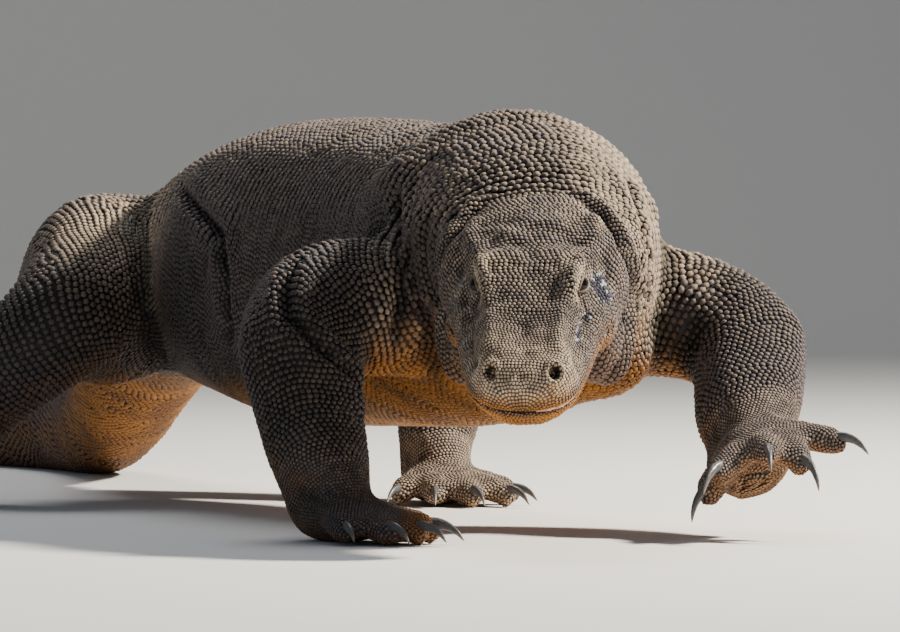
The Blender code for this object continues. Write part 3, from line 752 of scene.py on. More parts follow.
def traced_rows(surface, field):
    """Loops of crossings of the whole-number levels: for each, its edge ends, share and level."""
    tris = surface.tris
    sides = np.sort(np.concatenate([tris[:, [0, 1]], tris[:, [1, 2]], tris[:, [2, 0]]]), axis=1)
    unique, inverse = np.unique(sides[:, 0] * surface.count + sides[:, 1], return_inverse=True)
    inverse = inverse.reshape(3, -1).T
    start, end = unique // surface.count, unique % surface.count
    least, most = np.minimum(field[start], field[end]), np.maximum(field[start], field[end])
    low, high, offset, edge, level = whole_numbers(least, most)
    share = (level - field[start[edge]]) / (field[end[edge]] - field[start[edge]])
    # Each triangle that a level crosses joins two of these crossings.
    _, _, _, tri, tri_level = whole_numbers(field[tris].min(1), field[tris].max(1))
    own = inverse[tri]
    crossed = (low[own] <= tri_level[:, None]) & (tri_level[:, None] <= high[own])
    good = crossed.sum(1) == 2
    own, tri_level, crossed = own[good], tri_level[good], crossed[good]
    pick = np.argsort(~crossed, axis=1, kind="stable")[:, :2]
    pairs = np.take_along_axis(own, pick, axis=1)
    nodes = offset[pairs] + tri_level[:, None] - low[pairs]
    order = np.argsort(nodes.ravel(), kind="stable")
    other = nodes[:, ::-1].ravel()[order].tolist()
    where = np.searchsorted(nodes.ravel()[order], np.arange(len(edge) + 1)).tolist()
    seen = bytearray(len(edge))
    loops = []
    for origin in range(len(edge)):
        if seen[origin]:
            continue
        loop, here = [], origin
        while here is not None:
            seen[here] = 1
            loop.append(here)
            onward = [n for n in other[where[here] : where[here + 1]] if not seen[n]]
            here = onward[0] if onward else None
        loops.append(np.array(loop))
    return loops, start[edge], end[edge], share, level


def between(first, second, share):
    """Values a share of the way from first to second."""
    share = share.reshape(-1, *[1] * (first.ndim - 1))
    return first * (1 - share) + second * share


def scale_roots(surface, field, pitch):
    """Places and spacing of the scales along the rows of a field, with staggered starts."""
    loops, start, end, share, level = traced_rows(surface, field)
    places = between(surface.places[start], surface.places[end], share)
    width = pitch[start]
    chosen = []
    for loop in loops:
        if len(loop) < 4:
            continue
        loop = np.roll(loop, -int(places[loop, 2].argmax()))
        ring = np.append(loop, loop[0])
        gaps = length(np.diff(places[ring], axis=0))
        if gaps[-1] > OPEN_ROW:
            continue
        turns = np.concatenate([[0], np.cumsum(gaps / width[ring[:-1]])])
        many = int(round(turns[-1]))
        if many < 3:
            continue
        spots = (np.arange(many) + 0.5 * (level[loop[0]] % 2)) * turns[-1] / many
        at = np.clip(np.searchsorted(turns, spots, side="right") - 1, 0, len(loop) - 1)
        part = (spots - turns[at]) / np.maximum(turns[at + 1] - turns[at], 1e-9)
        chosen.append((ring[at], ring[at + 1], part))
    a, b, t = (np.concatenate(column) for column in zip(*chosen))

    def carried(values):
        first, second = (between(values[start[c]], values[end[c]], share[c]) for c in (a, b))
        return between(first, second, t)

    return carried(surface.places), carried(pitch)


def tree_of(places):
    """A tree to look places up in, and the places as a list."""
    listed = places.tolist()
    tree = KDTree(len(listed))
    for i, p in enumerate(listed):
        tree.insert(p, i)
    tree.balance()
    return tree, listed


def kept(places, pitch, rank):
    """True for the roots to keep. The rows come first (rank 0); the others only fill the gaps."""
    tree, listed = tree_of(places)
    keep = [True] * len(listed)
    rank, spacing = rank.tolist(), pitch.tolist()
    for i, p in enumerate(listed):
        if keep[i]:
            for _, j, away in tree.find_range(p, spacing[i] * CROWDED):
                if j > i and (rank[j] or away < spacing[i] * ROW_CROWDED):
                    keep[j] = False
    return np.array(keep)


def relaxed(places, normals, pitch, rounds=10):
    """Moves crowded roots apart along the surface, and gives their mean distance to those round them."""
    tree, listed = tree_of(places)
    reach = (pitch * 1.35).tolist()
    pairs = [(i, j) for i, p in enumerate(listed) for _, j, _ in tree.find_range(p, reach[i]) if j > i]
    a, b = np.array(pairs).T
    rest = (pitch[a] + pitch[b]) / 2 * 1.02
    count = len(places)
    for _ in range(rounds):
        gap = places[b] - places[a]
        away = length(gap)
        push = gap * (np.maximum(rest - away, 0) / np.maximum(away, 1e-6) * 0.22)[:, None]
        moved = np.stack([np.bincount(b, p, count) - np.bincount(a, p, count) for p in push.T], 1)
        places = places + moved - normals * (moved * normals).sum(1)[:, None]
    away = length(places[b] - places[a])
    near = away < rest * 1.3
    a, b, away = a[near], b[near], away[near]
    total = np.bincount(a, away, count) + np.bincount(b, away, count)
    many = np.bincount(a, minlength=count) + np.bincount(b, minlength=count)
    return places, np.where(many > 1, total / np.maximum(many, 1), pitch)


def on_surface(surface, tree, places, wanted):
    """The nearest points of the surface, with the wanted values there."""
    found = [tree.find_nearest(p) for p in places.tolist()]
    spots = np.array([f[0] for f in found])
    corner = surface.tris[[f[2] for f in found]]
    a, b, c = (surface.places[corner[:, k]] for k in range(3))
    normal = np.cross(b - a, c - a)
    size = np.maximum((normal**2).sum(1), 1e-20)
    u = (np.cross(c - b, spots - b) * normal).sum(1) / size
    v = (np.cross(a - c, spots - c) * normal).sum(1) / size
    weights = np.stack([u, v, 1 - u - v], 1).clip(0, 1)
    made = {"place": spots}
    for name, values in wanted.items():
        made[name] = (values[corner] * weights.reshape(weights.shape + (1,) * (values.ndim - 1))).sum(1)
    return made


# ---- markings
def left_facing(normals):
    """1 where the hide faces the animal's left and front, 0 where it faces the other way."""
    return step(0.0, 0.4, normals @ np.array((0.891, -0.454, 0.0)))


def blend(share, over, under):
    return under + share * (over - under)


def markings(surface, names):
    """Warm, dust, pale and blue marks at each vertex, from 0 to 1, with painted bounce light, sunlight and
    shade in them.
    """
    limb, foot = (surface.spread(with_word(names, word), 16) for word in ("leg", "foot"))
    right_hand_painted_shade, left_sole = (surface.spread(names == n, 10) for n in ("forefoot_right", "hindfoot_left"))
    body = 1 - np.maximum(limb, foot)
    local = surface.places - WITHERS
    left, back, high = local.T
    h, folded = folded_head(surface.places)
    right, ahead, up = h.T
    side = np.abs(right)
    normals = surface.normals()
    rise = normals[:, 2]
    face = step(0.0, 0.04, ahead) * step(0.12, 0.1, side)
    # Painted warm bounce light from below, on the belly, chest and underside of the tail; only the very
    # undersides of the limbs.
    rear = step(0.1, 0.3, back)
    behind = step(0.62, 0.9, back)
    shoulder = step(0.05, 0.09, left) * step(0.0, -0.06, back)
    low_down = step(0.215 - 0.08 * rear, 0.13 - 0.03 * rear, high)
    warm = step(0.1 + 0.15 * behind, -0.45 + 0.25 * behind, rise) * np.maximum(low_down, behind)
    warm = warm * (1 - 0.7 * step(0.9, 1.35, back))
    warm = warm * (1 - 0.75 * shoulder * step(0.14, 0.175, high))
    # Painted shade on the front of the right thigh: no warm bounce light there, and less dust.
    front = bump(distance(local, THIGH_FRONT), 0.095)
    warm = warm * (1 - front)
    warm = blend(limb, 0.75 * step(-0.35, -0.85, rise) * (1 - 0.7 * rear), warm)
    warm = blend(foot, 0.45 * step(0.2, -0.6, rise), warm)
    # Painted shade on the right forefoot: less warm bounce light.
    warm = warm * (1 - 0.5 * right_hand_painted_shade)
    line = above_mouth(h)
    throat = step(0.13, 0.07, ahead) * step(-0.07, -0.03, ahead) * step(0.1, 0.09, side)
    warm = warm * (1 - 0.75 * throat * step(0.0, -0.03, up))
    # The lips are warm in their own colour.
    lips = face * (step(0.0, -0.006, line) * 0.6 + 0.5 * bump(line - 0.002, 0.004))
    warm = np.maximum(warm, lips * step(0.06, 0.11, ahead))
    # Dust on the back, crown and feet.
    dust_and_painted_sun = 0.52 * step(0.15, 0.85, rise) * (1 - 0.8 * front)
    crown = face * step(0.0, 0.55, normals @ HEAD_TURN[:, 2])
    dust_and_painted_sun = np.max([dust_and_painted_sun, 0.95 * crown, 0.26 * face], axis=0) * (1 - 0.55 * limb)
    dust_and_painted_sun = blend(foot, 0.85, dust_and_painted_sun)
    # The right forefoot is darkened further, with less dust, as painted shade.
    dust_and_painted_sun = blend(right_hand_painted_shade, 0.25, dust_and_painted_sun)
    # Painted sunlight, as dust and pale colour, on the side of the neck that faces the key lamp.
    painted_sun_on_neck = left_facing(normals) * step(0.1, -0.04, back)
    painted_sun_on_neck = painted_sun_on_neck * step(0.13, 0.2, high) * body * (1 - face)
    withers = body * step(0.1, 0.6, rise) * step(0.1, -0.02, back)
    # A patch of painted sunlight on top of the right thigh, as dust and pale colour.
    thigh = distance(local, THIGH_PAINTED_SUN, (0.9, 1, 1))
    dust_and_painted_sun = np.max([dust_and_painted_sun, 0.85 * painted_sun_on_neck, 0.95 * withers, bump(thigh, 0.085)], axis=0)
    # Pale muzzle, brows and lids, and the pale share of the painted sunlight on the neck and thigh.
    pale = 0.95 * step(0.15, 0.215, ahead) * step(-0.01, 0.004, up)
    pale = blend(left_sole, 0.45, np.maximum(pale, bump(thigh, 0.075)))
    boss = distance(folded, (0.033, 0.092, 0.043))
    lid, _ = to_polyline(folded, [(0.04, 0.118, 0.03), (0.043, 0.096, 0.036), (0.046, 0.08, 0.034)])
    pale = np.max([pale, 0.48 * painted_sun_on_neck, 0.75 * bump(boss, 0.015), bump(lid, 0.0085)], axis=0)
    # Blue and pale marks behind and below the left eye, fainter on the right.
    cheek = distance(folded, (0.057, 0.08, 0.012), (1, 1.1, 1.2))
    stripe, share = to_polyline(folded, [
        (0.05, 0.112, 0.012), (0.045, 0.138, 0.013), (0.041, 0.162, 0.01)])
    blue = np.maximum(bump(cheek, 0.014), 0.8 * bump(stripe, 0.0055) * ends_fade(share * 0.9 + 0.05))
    blue = blue * np.where(right < 0, 1.0, 0.3)
    return np.stack([warm, dust_and_painted_sun, pale, blue], 1).clip(0, 1)


# ---- materials
class Nodes:
    """Short calls for building a node tree."""

    def __init__(self, tree):
        self.tree = tree

    def fill(self, node, inputs):
        """Sets or links a node's inputs."""
        for key, value in inputs.items():
            if isinstance(value, bpy.types.NodeSocket):
                self.tree.links.new(value, node.inputs[key])
            elif value is not None:
                node.inputs[key].default_value = value
        return node

    def add(self, kind, inputs=None, **settings):
        node = self.tree.nodes.new(kind)
        for key, value in settings.items():
            setattr(node, key, value)
        return self.fill(node, inputs or {})

    def given(self, kind, names):
        """Sockets of one kind on the way into a group."""
        for name in names:
            self.tree.interface.new_socket(name=name, in_out="INPUT", socket_type=kind)

    def handed_on(self, results):
        """Ends a group with its results, each with its socket's kind."""
        for name, (kind, _) in results.items():
            self.tree.interface.new_socket(name=name, in_out="OUTPUT", socket_type=kind)
        self.add("NodeGroupOutput", {name: value for name, (_, value) in results.items()})

    def math(self, operation, a, b):
        return self.add("ShaderNodeMath", {0: a, 1: b}, operation=operation).outputs[0]

    def times(self, a, b):
        return self.math("MULTIPLY", a, b)

    def mix(self, share, a, b, how="MIX"):
        inputs = {0: share, 6: a, 7: b}
        return self.add("ShaderNodeMix", inputs, data_type="RGBA", blend_type=how).outputs[2]

    def ramp(self, value, low, high, to_low=0.0, to_high=1.0):
        inputs = {0: value, 1: low, 2: high, 3: to_low, 4: to_high}
        return self.add("ShaderNodeMapRange", inputs, interpolation_type="SMOOTHSTEP").outputs[0]

    def noise(self, vector, scale, detail=3.0, roughness=0.6):
        inputs = {"Vector": vector, "Scale": scale, "Detail": detail, "Roughness": roughness}
        return self.add("ShaderNodeTexNoise", inputs).outputs["Fac"]

    def place(self):
        return self.add("ShaderNodeTexCoord").outputs["Object"]

    def attribute(self, name):
        return self.add("ShaderNodeAttribute", attribute_name=name).outputs

    def relief(self, strength, depth, height):
        inputs = {"Strength": strength, "Distance": depth, "Height": height}
        return self.add("ShaderNodeBump", inputs).outputs[0]


def new_material(name):
    """A material, the helper for its nodes, and its shader."""
    material = bpy.data.materials.new(name)
    material.use_nodes = True
    return material, Nodes(material.node_tree), material.node_tree.nodes["Principled BSDF"]


def colour(*values):
    return (*values, 1.0)


def hide_group():
    """Colour, roughness and fine height of the hide, from its marks, painted light and shade among them, and
    how high up a scale it is.
    """
    n = Nodes(bpy.data.node_groups.new("hide_tone", "ShaderNodeTree"))
    n.given("NodeSocketVector", ["Position"])
    n.given("NodeSocketFloat", ["Warm", "Dust", "Pale", "Blue", "Tip", "Tone", "Hollow"])
    given = n.add("NodeGroupInput").outputs
    spot, tip, tone, hollow = (given[name] for name in ("Position", "Tip", "Tone", "Hollow"))
    cloud = n.noise(spot, 6.0, 3.0, 0.55)
    patch = n.noise(spot, 26.0)
    fleck = n.noise(spot, 95.0, 2.0)
    grain = n.noise(spot, 900.0, 3.0, 0.65)
    # Blackish brown ground, plum grey in clouds, each scale a little lighter or darker.
    ground = n.mix(n.ramp(cloud, 0.4, 0.6), colour(0.036, 0.029, 0.03), colour(0.064, 0.053, 0.062))
    ground = n.mix(n.times(tone, 0.5), ground, colour(0.15, 0.11, 0.08))
    # Dust colour, also used for the painted sunlight on the neck and thigh.
    dust_and_painted_sun_colour = n.mix(n.ramp(fleck, 0.4, 0.6), colour(0.43, 0.33, 0.238), colour(0.215, 0.168, 0.13))
    dust_and_painted_sun_colour = n.mix(n.ramp(patch, 0.5, 0.66, 0.0, 0.55), dust_and_painted_sun_colour, colour(0.18, 0.135, 0.1))
    dust_and_painted_sun = n.times(given["Dust"], n.ramp(patch, 0.32, 0.56, 0.55, 1.0))
    dust_and_painted_sun = n.times(dust_and_painted_sun, n.ramp(tone, 0.0, 1.0, 0.5, 1.05))
    # Dust and painted sunlight show most on the tips of the scales.
    tip_dust_and_painted_sun = n.times(dust_and_painted_sun, n.ramp(tip, 0.3, 0.9))
    made = n.mix(n.times(tip_dust_and_painted_sun, 0.85), ground, dust_and_painted_sun_colour)
    # Warm colour: painted bounce light on the undersides, and the lips' own colour.
    warm = n.mix(n.ramp(patch, 0.42, 0.6), colour(0.4, 0.15, 0.008), colour(0.26, 0.094, 0.006))
    made = n.mix(n.times(given["Warm"], n.ramp(tip, 0.0, 0.6, 0.65, 0.92)), made, warm)
    # Pale colour of the muzzle, brows and lids, also used for painted sunlight.
    pale = n.mix(n.ramp(fleck, 0.4, 0.62), colour(0.6, 0.47, 0.32), colour(0.38, 0.285, 0.195))
    made = n.mix(n.times(given["Pale"], n.ramp(tip, 0.25, 0.85, 0.15, 0.85)), made, pale)
    # Bluish flecks, broken up at random.
    bluish = n.mix(n.ramp(tone, 0.62, 0.74), colour(0.022, 0.022, 0.042), colour(0.43, 0.46, 0.49))
    broken = n.math("ADD", given["Blue"], n.times(n.math("SUBTRACT", fleck, 0.5), 0.9))
    broken = n.times(broken, n.ramp(given["Blue"], 0.03, 0.12))
    made = n.mix(n.ramp(broken, 0.15, 0.7, 0.0, 0.95), made, bluish)
    # Painted shade darkens the gaps between the scales and the creases of the skin, and all else that the
    # hollow value marks.
    painted_gap_shade = n.ramp(tip, 0.0, 0.55, 0.16, 1.0)
    for name in ("Warm", "Pale"):
        painted_gap_shade = n.math("MAXIMUM", painted_gap_shade, n.times(given[name], 0.5))
    painted_gap_shade = n.times(painted_gap_shade, n.ramp(hollow, 0.0, 1.0, 1.0, 0.34))
    painted_gap_shade = n.times(painted_gap_shade, n.ramp(hollow, 0.9, 1.7, 1.0, 0.06))
    shade = n.times(painted_gap_shade, n.ramp(grain, 0.3, 0.7, 0.8, 1.14))
    grey = n.add("ShaderNodeCombineColor", {0: shade, 1: shade, 2: shade}).outputs[0]
    rough = n.ramp(n.math("ADD", n.times(tip_dust_and_painted_sun, 0.6), n.times(grain, 0.4)), 0.1, 0.8, 0.52, 0.85)
    n.handed_on({
        "Color": ("NodeSocketColor", n.mix(1.0, made, grey, "MULTIPLY")),
        "Roughness": ("NodeSocketFloat", rough),
        "Height": ("NodeSocketFloat", grain),
    })
    return n.tree


def hide_material(name, group, tip=None):
    """The hide's finish. tip is fixed for bare skin, and read from the scales otherwise."""
    material, n, shader = new_material(name)
    marks = n.attribute("marks")
    parts = n.add("ShaderNodeSeparateColor", {0: marks["Color"]}).outputs
    tone = n.add("ShaderNodeGroup", node_tree=group)
    # The marks and hollow values carry painted bounce light, sunlight and shade as well as the hide's own
    # colours.
    n.fill(tone, {
        "Position": n.place(), "Warm": parts[0], "Dust": parts[1], "Pale": parts[2], "Blue": marks["Alpha"],
        "Tone": n.attribute("tone")["Fac"], "Hollow": n.attribute("hollow")["Fac"],
        "Tip": n.attribute("tip")["Fac"] if tip is None else tip,
    })
    made = tone.outputs
    n.fill(shader, {
        "Base Color": made["Color"], "Roughness": made["Roughness"], "Specular IOR Level": 0.28,
        "Normal": n.relief(0.5 if tip is None else 0.2, 0.0003, made["Height"]),
    })
    return material


# ---- scales
def band(a, b):
    """The faces between two rings of corners."""
    count = len(a)
    return [(a[k], a[(k + 1) % count], b[(k + 1) % count], b[k]) for k in range(count)]


def scale_shape(name, sides, rings, seed):
    """A closed, slightly uneven dome, one unit across."""
    rng = np.random.default_rng(seed)
    uneven = rng.uniform(-0.09, 0.09, sides)
    lean = rng.uniform(-0.05, 0.05)
    bm = bmesh.new()
    rows, patch, tips = [], [], []
    for number, (radius, height) in enumerate(rings):
        rise = max(height, 0)
        row = []
        for k in range(sides):
            angle = 2 * math.pi * (k + 0.5) / sides
            reach = radius * (1 + uneven[k] * (1 - 0.5 * rise))
            x, y = reach * math.cos(angle) + lean * rise, reach * math.sin(angle) + 0.06 * height
            row.append(bm.verts.new((x, y, height)))
            out = 0.5 * (1 - number / len(rings))
            patch.append((out * math.cos(angle), out * math.sin(angle), 0))
            tips.append(rise)
        rows.append(row)
    crown = bm.verts.new((lean, 0.08, 1))
    patch.append((0, 0, 0))
    tips.append(1)
    for a, b in zip(rows, rows[1:]):
        for face in band(a, b):
            bm.faces.new(face)
    for k in range(sides):
        bm.faces.new((rows[-1][k], rows[-1][(k + 1) % sides], crown))
    bm.faces.new(list(reversed(rows[0])))
    mesh = closed(bm, name)
    mesh.shade_smooth()
    add_attribute(mesh, "patch", np.array(patch))
    add_attribute(mesh, "tip", np.array(tips))
    return new_object(name, mesh)


# Sides of each kind of scale, and its rings from the base up: (radius, height).
DOMES = {
    "fine": (6, [(0.5, -0.25), (0.48, 0.4), (0.31, 0.84)]),
    "small": (6, [(0.5, -0.25), (0.44, 0.6)]),
    "plain": (5, [(0.52, -0.25), (0.46, 0.6)]),
}
SHAPES = ("First shape", "Second shape", "Third shape")


def coat_tree():
    """Sets one of three scales on every root, turned and sized by the root's own values."""
    n = Nodes(bpy.data.node_groups.new("coat", "GeometryNodeTree"))
    n.given("NodeSocketGeometry", ["Roots"])
    n.given("NodeSocketObject", SHAPES)
    n.given("NodeSocketMaterial", ["Finish"])
    given = n.add("NodeGroupInput").outputs
    choice = n.add("GeometryNodeGeometryToInstance")
    for name in SHAPES:
        n.fill(choice, {0: n.add("GeometryNodeObjectInfo", {"Object": given[name]}).outputs["Geometry"]})

    def read(name):
        node = n.add("GeometryNodeInputNamedAttribute", {"Name": name}, data_type="FLOAT_VECTOR")
        return node.outputs[0]

    kind = n.add("FunctionNodeRandomValue", data_type="INT")
    n.fill(kind, {4: 0, 5: len(SHAPES) - 1, "Seed": 5})
    turned = n.add("FunctionNodeEulerToRotation", {0: read("turn")}).outputs[0]
    set_down = n.add("GeometryNodeInstanceOnPoints", {
        "Points": given["Roots"], "Instance": choice.outputs[0], "Pick Instance": True,
        "Instance Index": kind.outputs[2], "Rotation": turned, "Scale": read("size")}).outputs[0]
    solid = n.add("GeometryNodeRealizeInstances", {0: set_down}).outputs[0]
    dressed = n.add("GeometryNodeSetMaterial", {"Geometry": solid, "Material": given["Finish"]}).outputs[0]
    n.handed_on({"Coat": ("NodeSocketGeometry", dressed)})
    return n.tree


def euler_angles(x, y, z):
    """XYZ Euler angles of frames whose columns are x, y and z."""
    pitch = np.arctan2(-x[:, 2], np.hypot(x[:, 0], x[:, 1]))
    return np.stack([np.arctan2(y[:, 2], z[:, 2]), pitch, np.arctan2(x[:, 1], x[:, 0])], 1)


def bake_cells(roots):
    """Each root's own place on the unwrap: rows down the body, columns round it."""
    count = len(roots["place"])
    columns = int(math.ceil(math.sqrt(count)))
    order = np.argsort(roots["far"], kind="stable")
    cells = np.zeros((count, 3))
    for row in range(0, count, columns):
        chunk = order[row : row + columns]
        chunk = chunk[np.argsort(roots["round"][chunk], kind="stable")]
        cells[chunk, 0] = (np.arange(len(chunk)) + 0.5) / columns
        cells[chunk, 1] = (row / columns + 0.5) / columns
    return cells


def coat_piece(name, roots, shapes, tree, material):
    """One region's scales as a plain mesh with its bake map."""
    points = bpy.data.meshes.new(name)
    points.from_pydata(roots["place"].tolist(), [], [])
    roots["cell"] = bake_cells(roots)
    # The scales carry the roots' values, the painted shade in hollow among them.
    for key in ("turn", "size", "marks", "tone", "hollow", "cell"):
        add_attribute(points, key, roots[key])
    obj = new_object(name, points)
    grow = obj.modifiers.new("coat", "NODES")
    grow.node_group = tree
    given = dict(zip(SHAPES, shapes), Finish=material)
    for item in tree.interface.items_tree:
        if item.name in given:
            grow[item.identifier] = given[item.name]
    mesh = evaluated_mesh(obj)
    obj.modifiers.clear()
    obj.data = mesh
    corners = values_of(mesh.loops, "vertex_index", 1, int)[:, 0]
    cell, patch = (values_of(mesh.attributes[key].data, "vector") for key in ("cell", "patch"))
    layer = mesh.uv_layers.new(name="OFBake")
    spots = (cell + patch * PATCH)[corners, :2]
    layer.uv.foreach_set("vector", np.ascontiguousarray(spots, dtype=np.float32).ravel())
    for extra in ("cell", "patch", "turn", "size"):
        if extra in mesh.attributes:
            mesh.attributes.remove(mesh.attributes[extra])
    finished(obj, material)


# ---- eyes, lids, mouth, claws
def eye_material():
    """Dark brown iris round a black pupil, wet all over."""
    material, n, shader = new_material("eye")
    off = n.attribute("gaze")["Fac"]
    streaks = n.noise(n.place(), 1400.0)
    iris = n.mix(n.ramp(streaks, 0.35, 0.65), colour(0.01, 0.007, 0.006), colour(0.03, 0.017, 0.009))
    ball = n.mix(n.ramp(off, IRIS, IRIS + 0.1), iris, colour(0.014, 0.01, 0.009))
    eye = n.mix(n.ramp(off, PUPIL - 0.02, PUPIL + 0.02), colour(0.003, 0.003, 0.004), ball)
    n.fill(shader, {"Base Color": eye, "Roughness": 0.07, "IOR": 1.33, "Specular IOR Level": 0.22})
    return material


def eyeball(name, side, material):
    """A ball with a bulging cornea; gaze is the angle away from where it looks."""
    centre, out, along, up = eye_axes(side)
    bm = bmesh.new()
    bmesh.ops.create_uvsphere(bm, u_segments=64, v_segments=40, radius=EYE_RADIUS)
    turn = Matrix((Vector(along), Vector(up), Vector(out))).transposed()
    angles = []
    for vertex in bm.verts:
        angle = math.acos(max(-1, min(1, vertex.co.z / EYE_RADIUS)))
        angles.append(angle)
        vertex.co *= 1 + 0.035 * max(0, 1 - (angle / IRIS) ** 2)
        vertex.co = turn @ vertex.co + Vector(centre)
    bm.normal_update()
    bmesh.ops.recalc_face_normals(bm, faces=bm.faces)
    mesh = closed(bm, f"eyeball_{name}")
    add_attribute(mesh, "gaze", np.array(angles))
    finished(new_object(mesh.name, mesh), material, [f"eye_{name}"])


def tube(name, centres, across, outward, widths, heights, ring=True, sides=12):
    """A band of elliptic section round a line of centres, joined into a ring or with its ends capped."""
    places, rings = [], []
    for centre, wide, tall in zip(centres, across * widths[:, None], outward * heights[:, None]):
        rings.append(list(range(len(places), len(places) + sides)))
        for angle in (2 * math.pi * k / sides for k in range(sides)):
            places.append(tuple(centre + wide * math.cos(angle) + tall * math.sin(angle)))
    faces = []
    for a, b in zip(rings, rings[1:] + rings[:1] if ring else rings[1:]):
        faces += band(a, b)
    if not ring:
        faces += [rings[0], rings[-1]]
    mesh = bpy.data.meshes.new(name)
    mesh.from_pydata(places, [], faces)
    bm = opened(mesh)
    bmesh.ops.recalc_face_normals(bm, faces=bm.faces)
    return closed(bm, mesh)


def eyelids(name, side, material):
    """The thickened, rough edge of both lids."""
    centre, out, along, up = eye_axes(side)
    turns = np.linspace(0, 2 * math.pi, 72, endpoint=False)
    u = LID_LENGTH * np.sign(np.cos(turns)) * np.abs(np.cos(turns)) ** 0.9
    v = lid_height(u, np.sin(turns) > 0) * np.sign(np.sin(turns))
    angle = np.hypot(u, v) / EYE_RADIUS
    flat = unit(u[:, None] * along + v[:, None] * up)
    heading = np.cos(angle)[:, None] * out + np.sin(angle)[:, None] * flat
    width = 0.0015 - 0.0006 * (np.abs(u) / LID_LENGTH) ** 4
    line = centre + heading * (EYE_RADIUS + 0.0004)
    ahead = unit(np.roll(line, -1, axis=0) - np.roll(line, 1, axis=0))
    across = np.cross(ahead, heading)
    across *= np.sign((across * unit(line - line.mean(0))).sum(1))[:, None]
    line = line + across * width[:, None] * 0.7
    mesh = tube(f"eyelids_{name}", line, across, heading, width, width * 0.95)
    rough = Surface(mesh)
    rough.places += rough.normals() * (0.00022 * lattice_noise(rough.places / 0.0011 + 80, 8))[:, None]
    rough.move(mesh)
    add_attribute(mesh, "marks", np.tile((0.0, 0.6, 0.3, 0.0), (rough.count, 1)))
    add_attribute(mesh, "tone", 0.5 + 0.5 * lattice_noise(rough.places / 0.0015 + 80, 9))
    add_attribute(mesh, "hollow", np.zeros(rough.count))
    finished(new_object(mesh.name, mesh), material)


def claw_material():
    """Dark horn with streaks along it, paler at the root and soiled at the tip."""
    material, n, shader = new_material("claw")
    along = n.attribute("along")["Vector"]
    drawn_out = n.add("ShaderNodeVectorMath", {0: along, 1: (3.0, 60.0, 60.0)}, operation="MULTIPLY")
    streak = n.noise(drawn_out.outputs[0], 1.0, 4.0)
    share = n.add("ShaderNodeSeparateXYZ", {0: along}).outputs[0]
    horn = n.mix(n.ramp(streak, 0.35, 0.65), colour(0.036, 0.036, 0.042), colour(0.11, 0.107, 0.105))
    horn = n.mix(n.ramp(share, 0.75, 1.0), horn, colour(0.2, 0.175, 0.15))
    soil = n.times(n.ramp(n.noise(n.place(), 120.0), 0.45, 0.62), n.ramp(share, 0.35, 0.0))
    horn = n.mix(n.times(soil, 0.8), horn, colour(0.21, 0.155, 0.105))
    n.fill(shader, {
        "Base Color": horn, "Roughness": n.ramp(streak, 0.3, 0.7, 0.26, 0.46),
        "Normal": n.relief(0.5, 0.0002, streak),
    })
    return material


def claw_piece(name, material):
    """A finely rounded copy of one claw, with growth ridges."""
    mesh = modified(closed(welded(name), "horn"), "SUBSURF", levels=2, render_levels=2)
    surface = Surface(mesh)
    root, tip, heading = CLAW_ENDS[name]
    long = np.linalg.norm(tip - root)
    share = length(surface.places - root) / long
    surface.places += surface.normals() * (0.0011 - 0.0009 * share + 0.00008 * np.sin(share * 70))[:, None]
    surface.move(mesh)
    sideways = np.cross(heading, (tip - root) / long)
    sideways /= np.linalg.norm(sideways)
    upward = np.cross(sideways, heading)
    local = surface.places - root
    add_attribute(mesh, "along", np.stack([share, local @ sideways * 30, local @ upward * 30], 1))
    finished(new_object(name.replace("claw", "horn"), mesh), material, [name])


# ---- studio
def studio():
    """Three lamps and a sheet of paper that curves up behind the animal."""
    right, forward, up = Vector((0.891, -0.454, 0)), Vector((0.454, 0.891, 0)), Vector((0, 0, 1))
    target = Vector(WITHERS) + up * 0.2

    def lamp(name, across, back, above, size, power, tint=(1, 1, 1)):
        light = bpy.data.lights.new(name, "AREA")
        light.shape = "DISK"
        light.size = size
        light.energy = power
        light.color = tint
        obj = new_object(name, light)
        obj.location = target + right * across - forward * back + up * above
        obj.rotation_euler = (target - obj.location).to_track_quat("-Z", "Y").to_euler()

    lamp("key", 3.0, -0.3, 2.5, 0.45, 590, (1.0, 0.92, 0.8))
    lamp("fill", -1.6, 3.4, 1.2, 2.6, 10, (0.66, 0.8, 1.0))
    lamp("top", -0.6, -2.2, 3.2, 2.0, 70)

    bend = np.linspace(0, math.pi / 2, 24)
    profile = [(-14, 0)] + [(7 + 3 * math.sin(a), 3 - 3 * math.cos(a)) for a in bend] + [(10, 9)]
    floor = bmesh.new()
    rows = [[floor.verts.new(Vector(WITHERS) + right * x + forward * depth + up * height)
             for depth, height in profile] for x in (-9.0, 9.0)]
    for a, b, c, d in zip(rows[0], rows[1], rows[1][1:], rows[0][1:]):
        floor.faces.new((a, b, c, d))
    mesh = closed(floor, "studio_floor")
    paper, n, shader = new_material("paper")
    n.fill(shader, {"Base Color": colour(0.72, 0.71, 0.69), "Roughness": 0.9})
    mesh.materials.append(paper)
    mesh.shade_smooth()
    obj = new_object("studio_floor", mesh)
    world = bpy.data.worlds.new("studio")
    world.use_nodes = True
    n.fill(world.node_tree.nodes["Background"], {0: colour(0.72, 0.84, 1.0), 1: 0.2})
    bpy.context.scene.world = world


def camera():
    """A long lens before the animal's right shoulder, looking very slightly down."""
    data = bpy.data.cameras.new("camera")
    data.sensor_width = 36
    data.lens = 230
    data.clip_end = 60
    obj = new_object("camera", data)
    obj.location = Vector(WITHERS) + Vector((-2.3244, -4.4273, 0.26))
    obj.rotation_euler = Vector((0.454, 0.891, -0.01495652)).to_track_quat("-Z", "Y").to_euler()
    bpy.context.scene.camera = obj


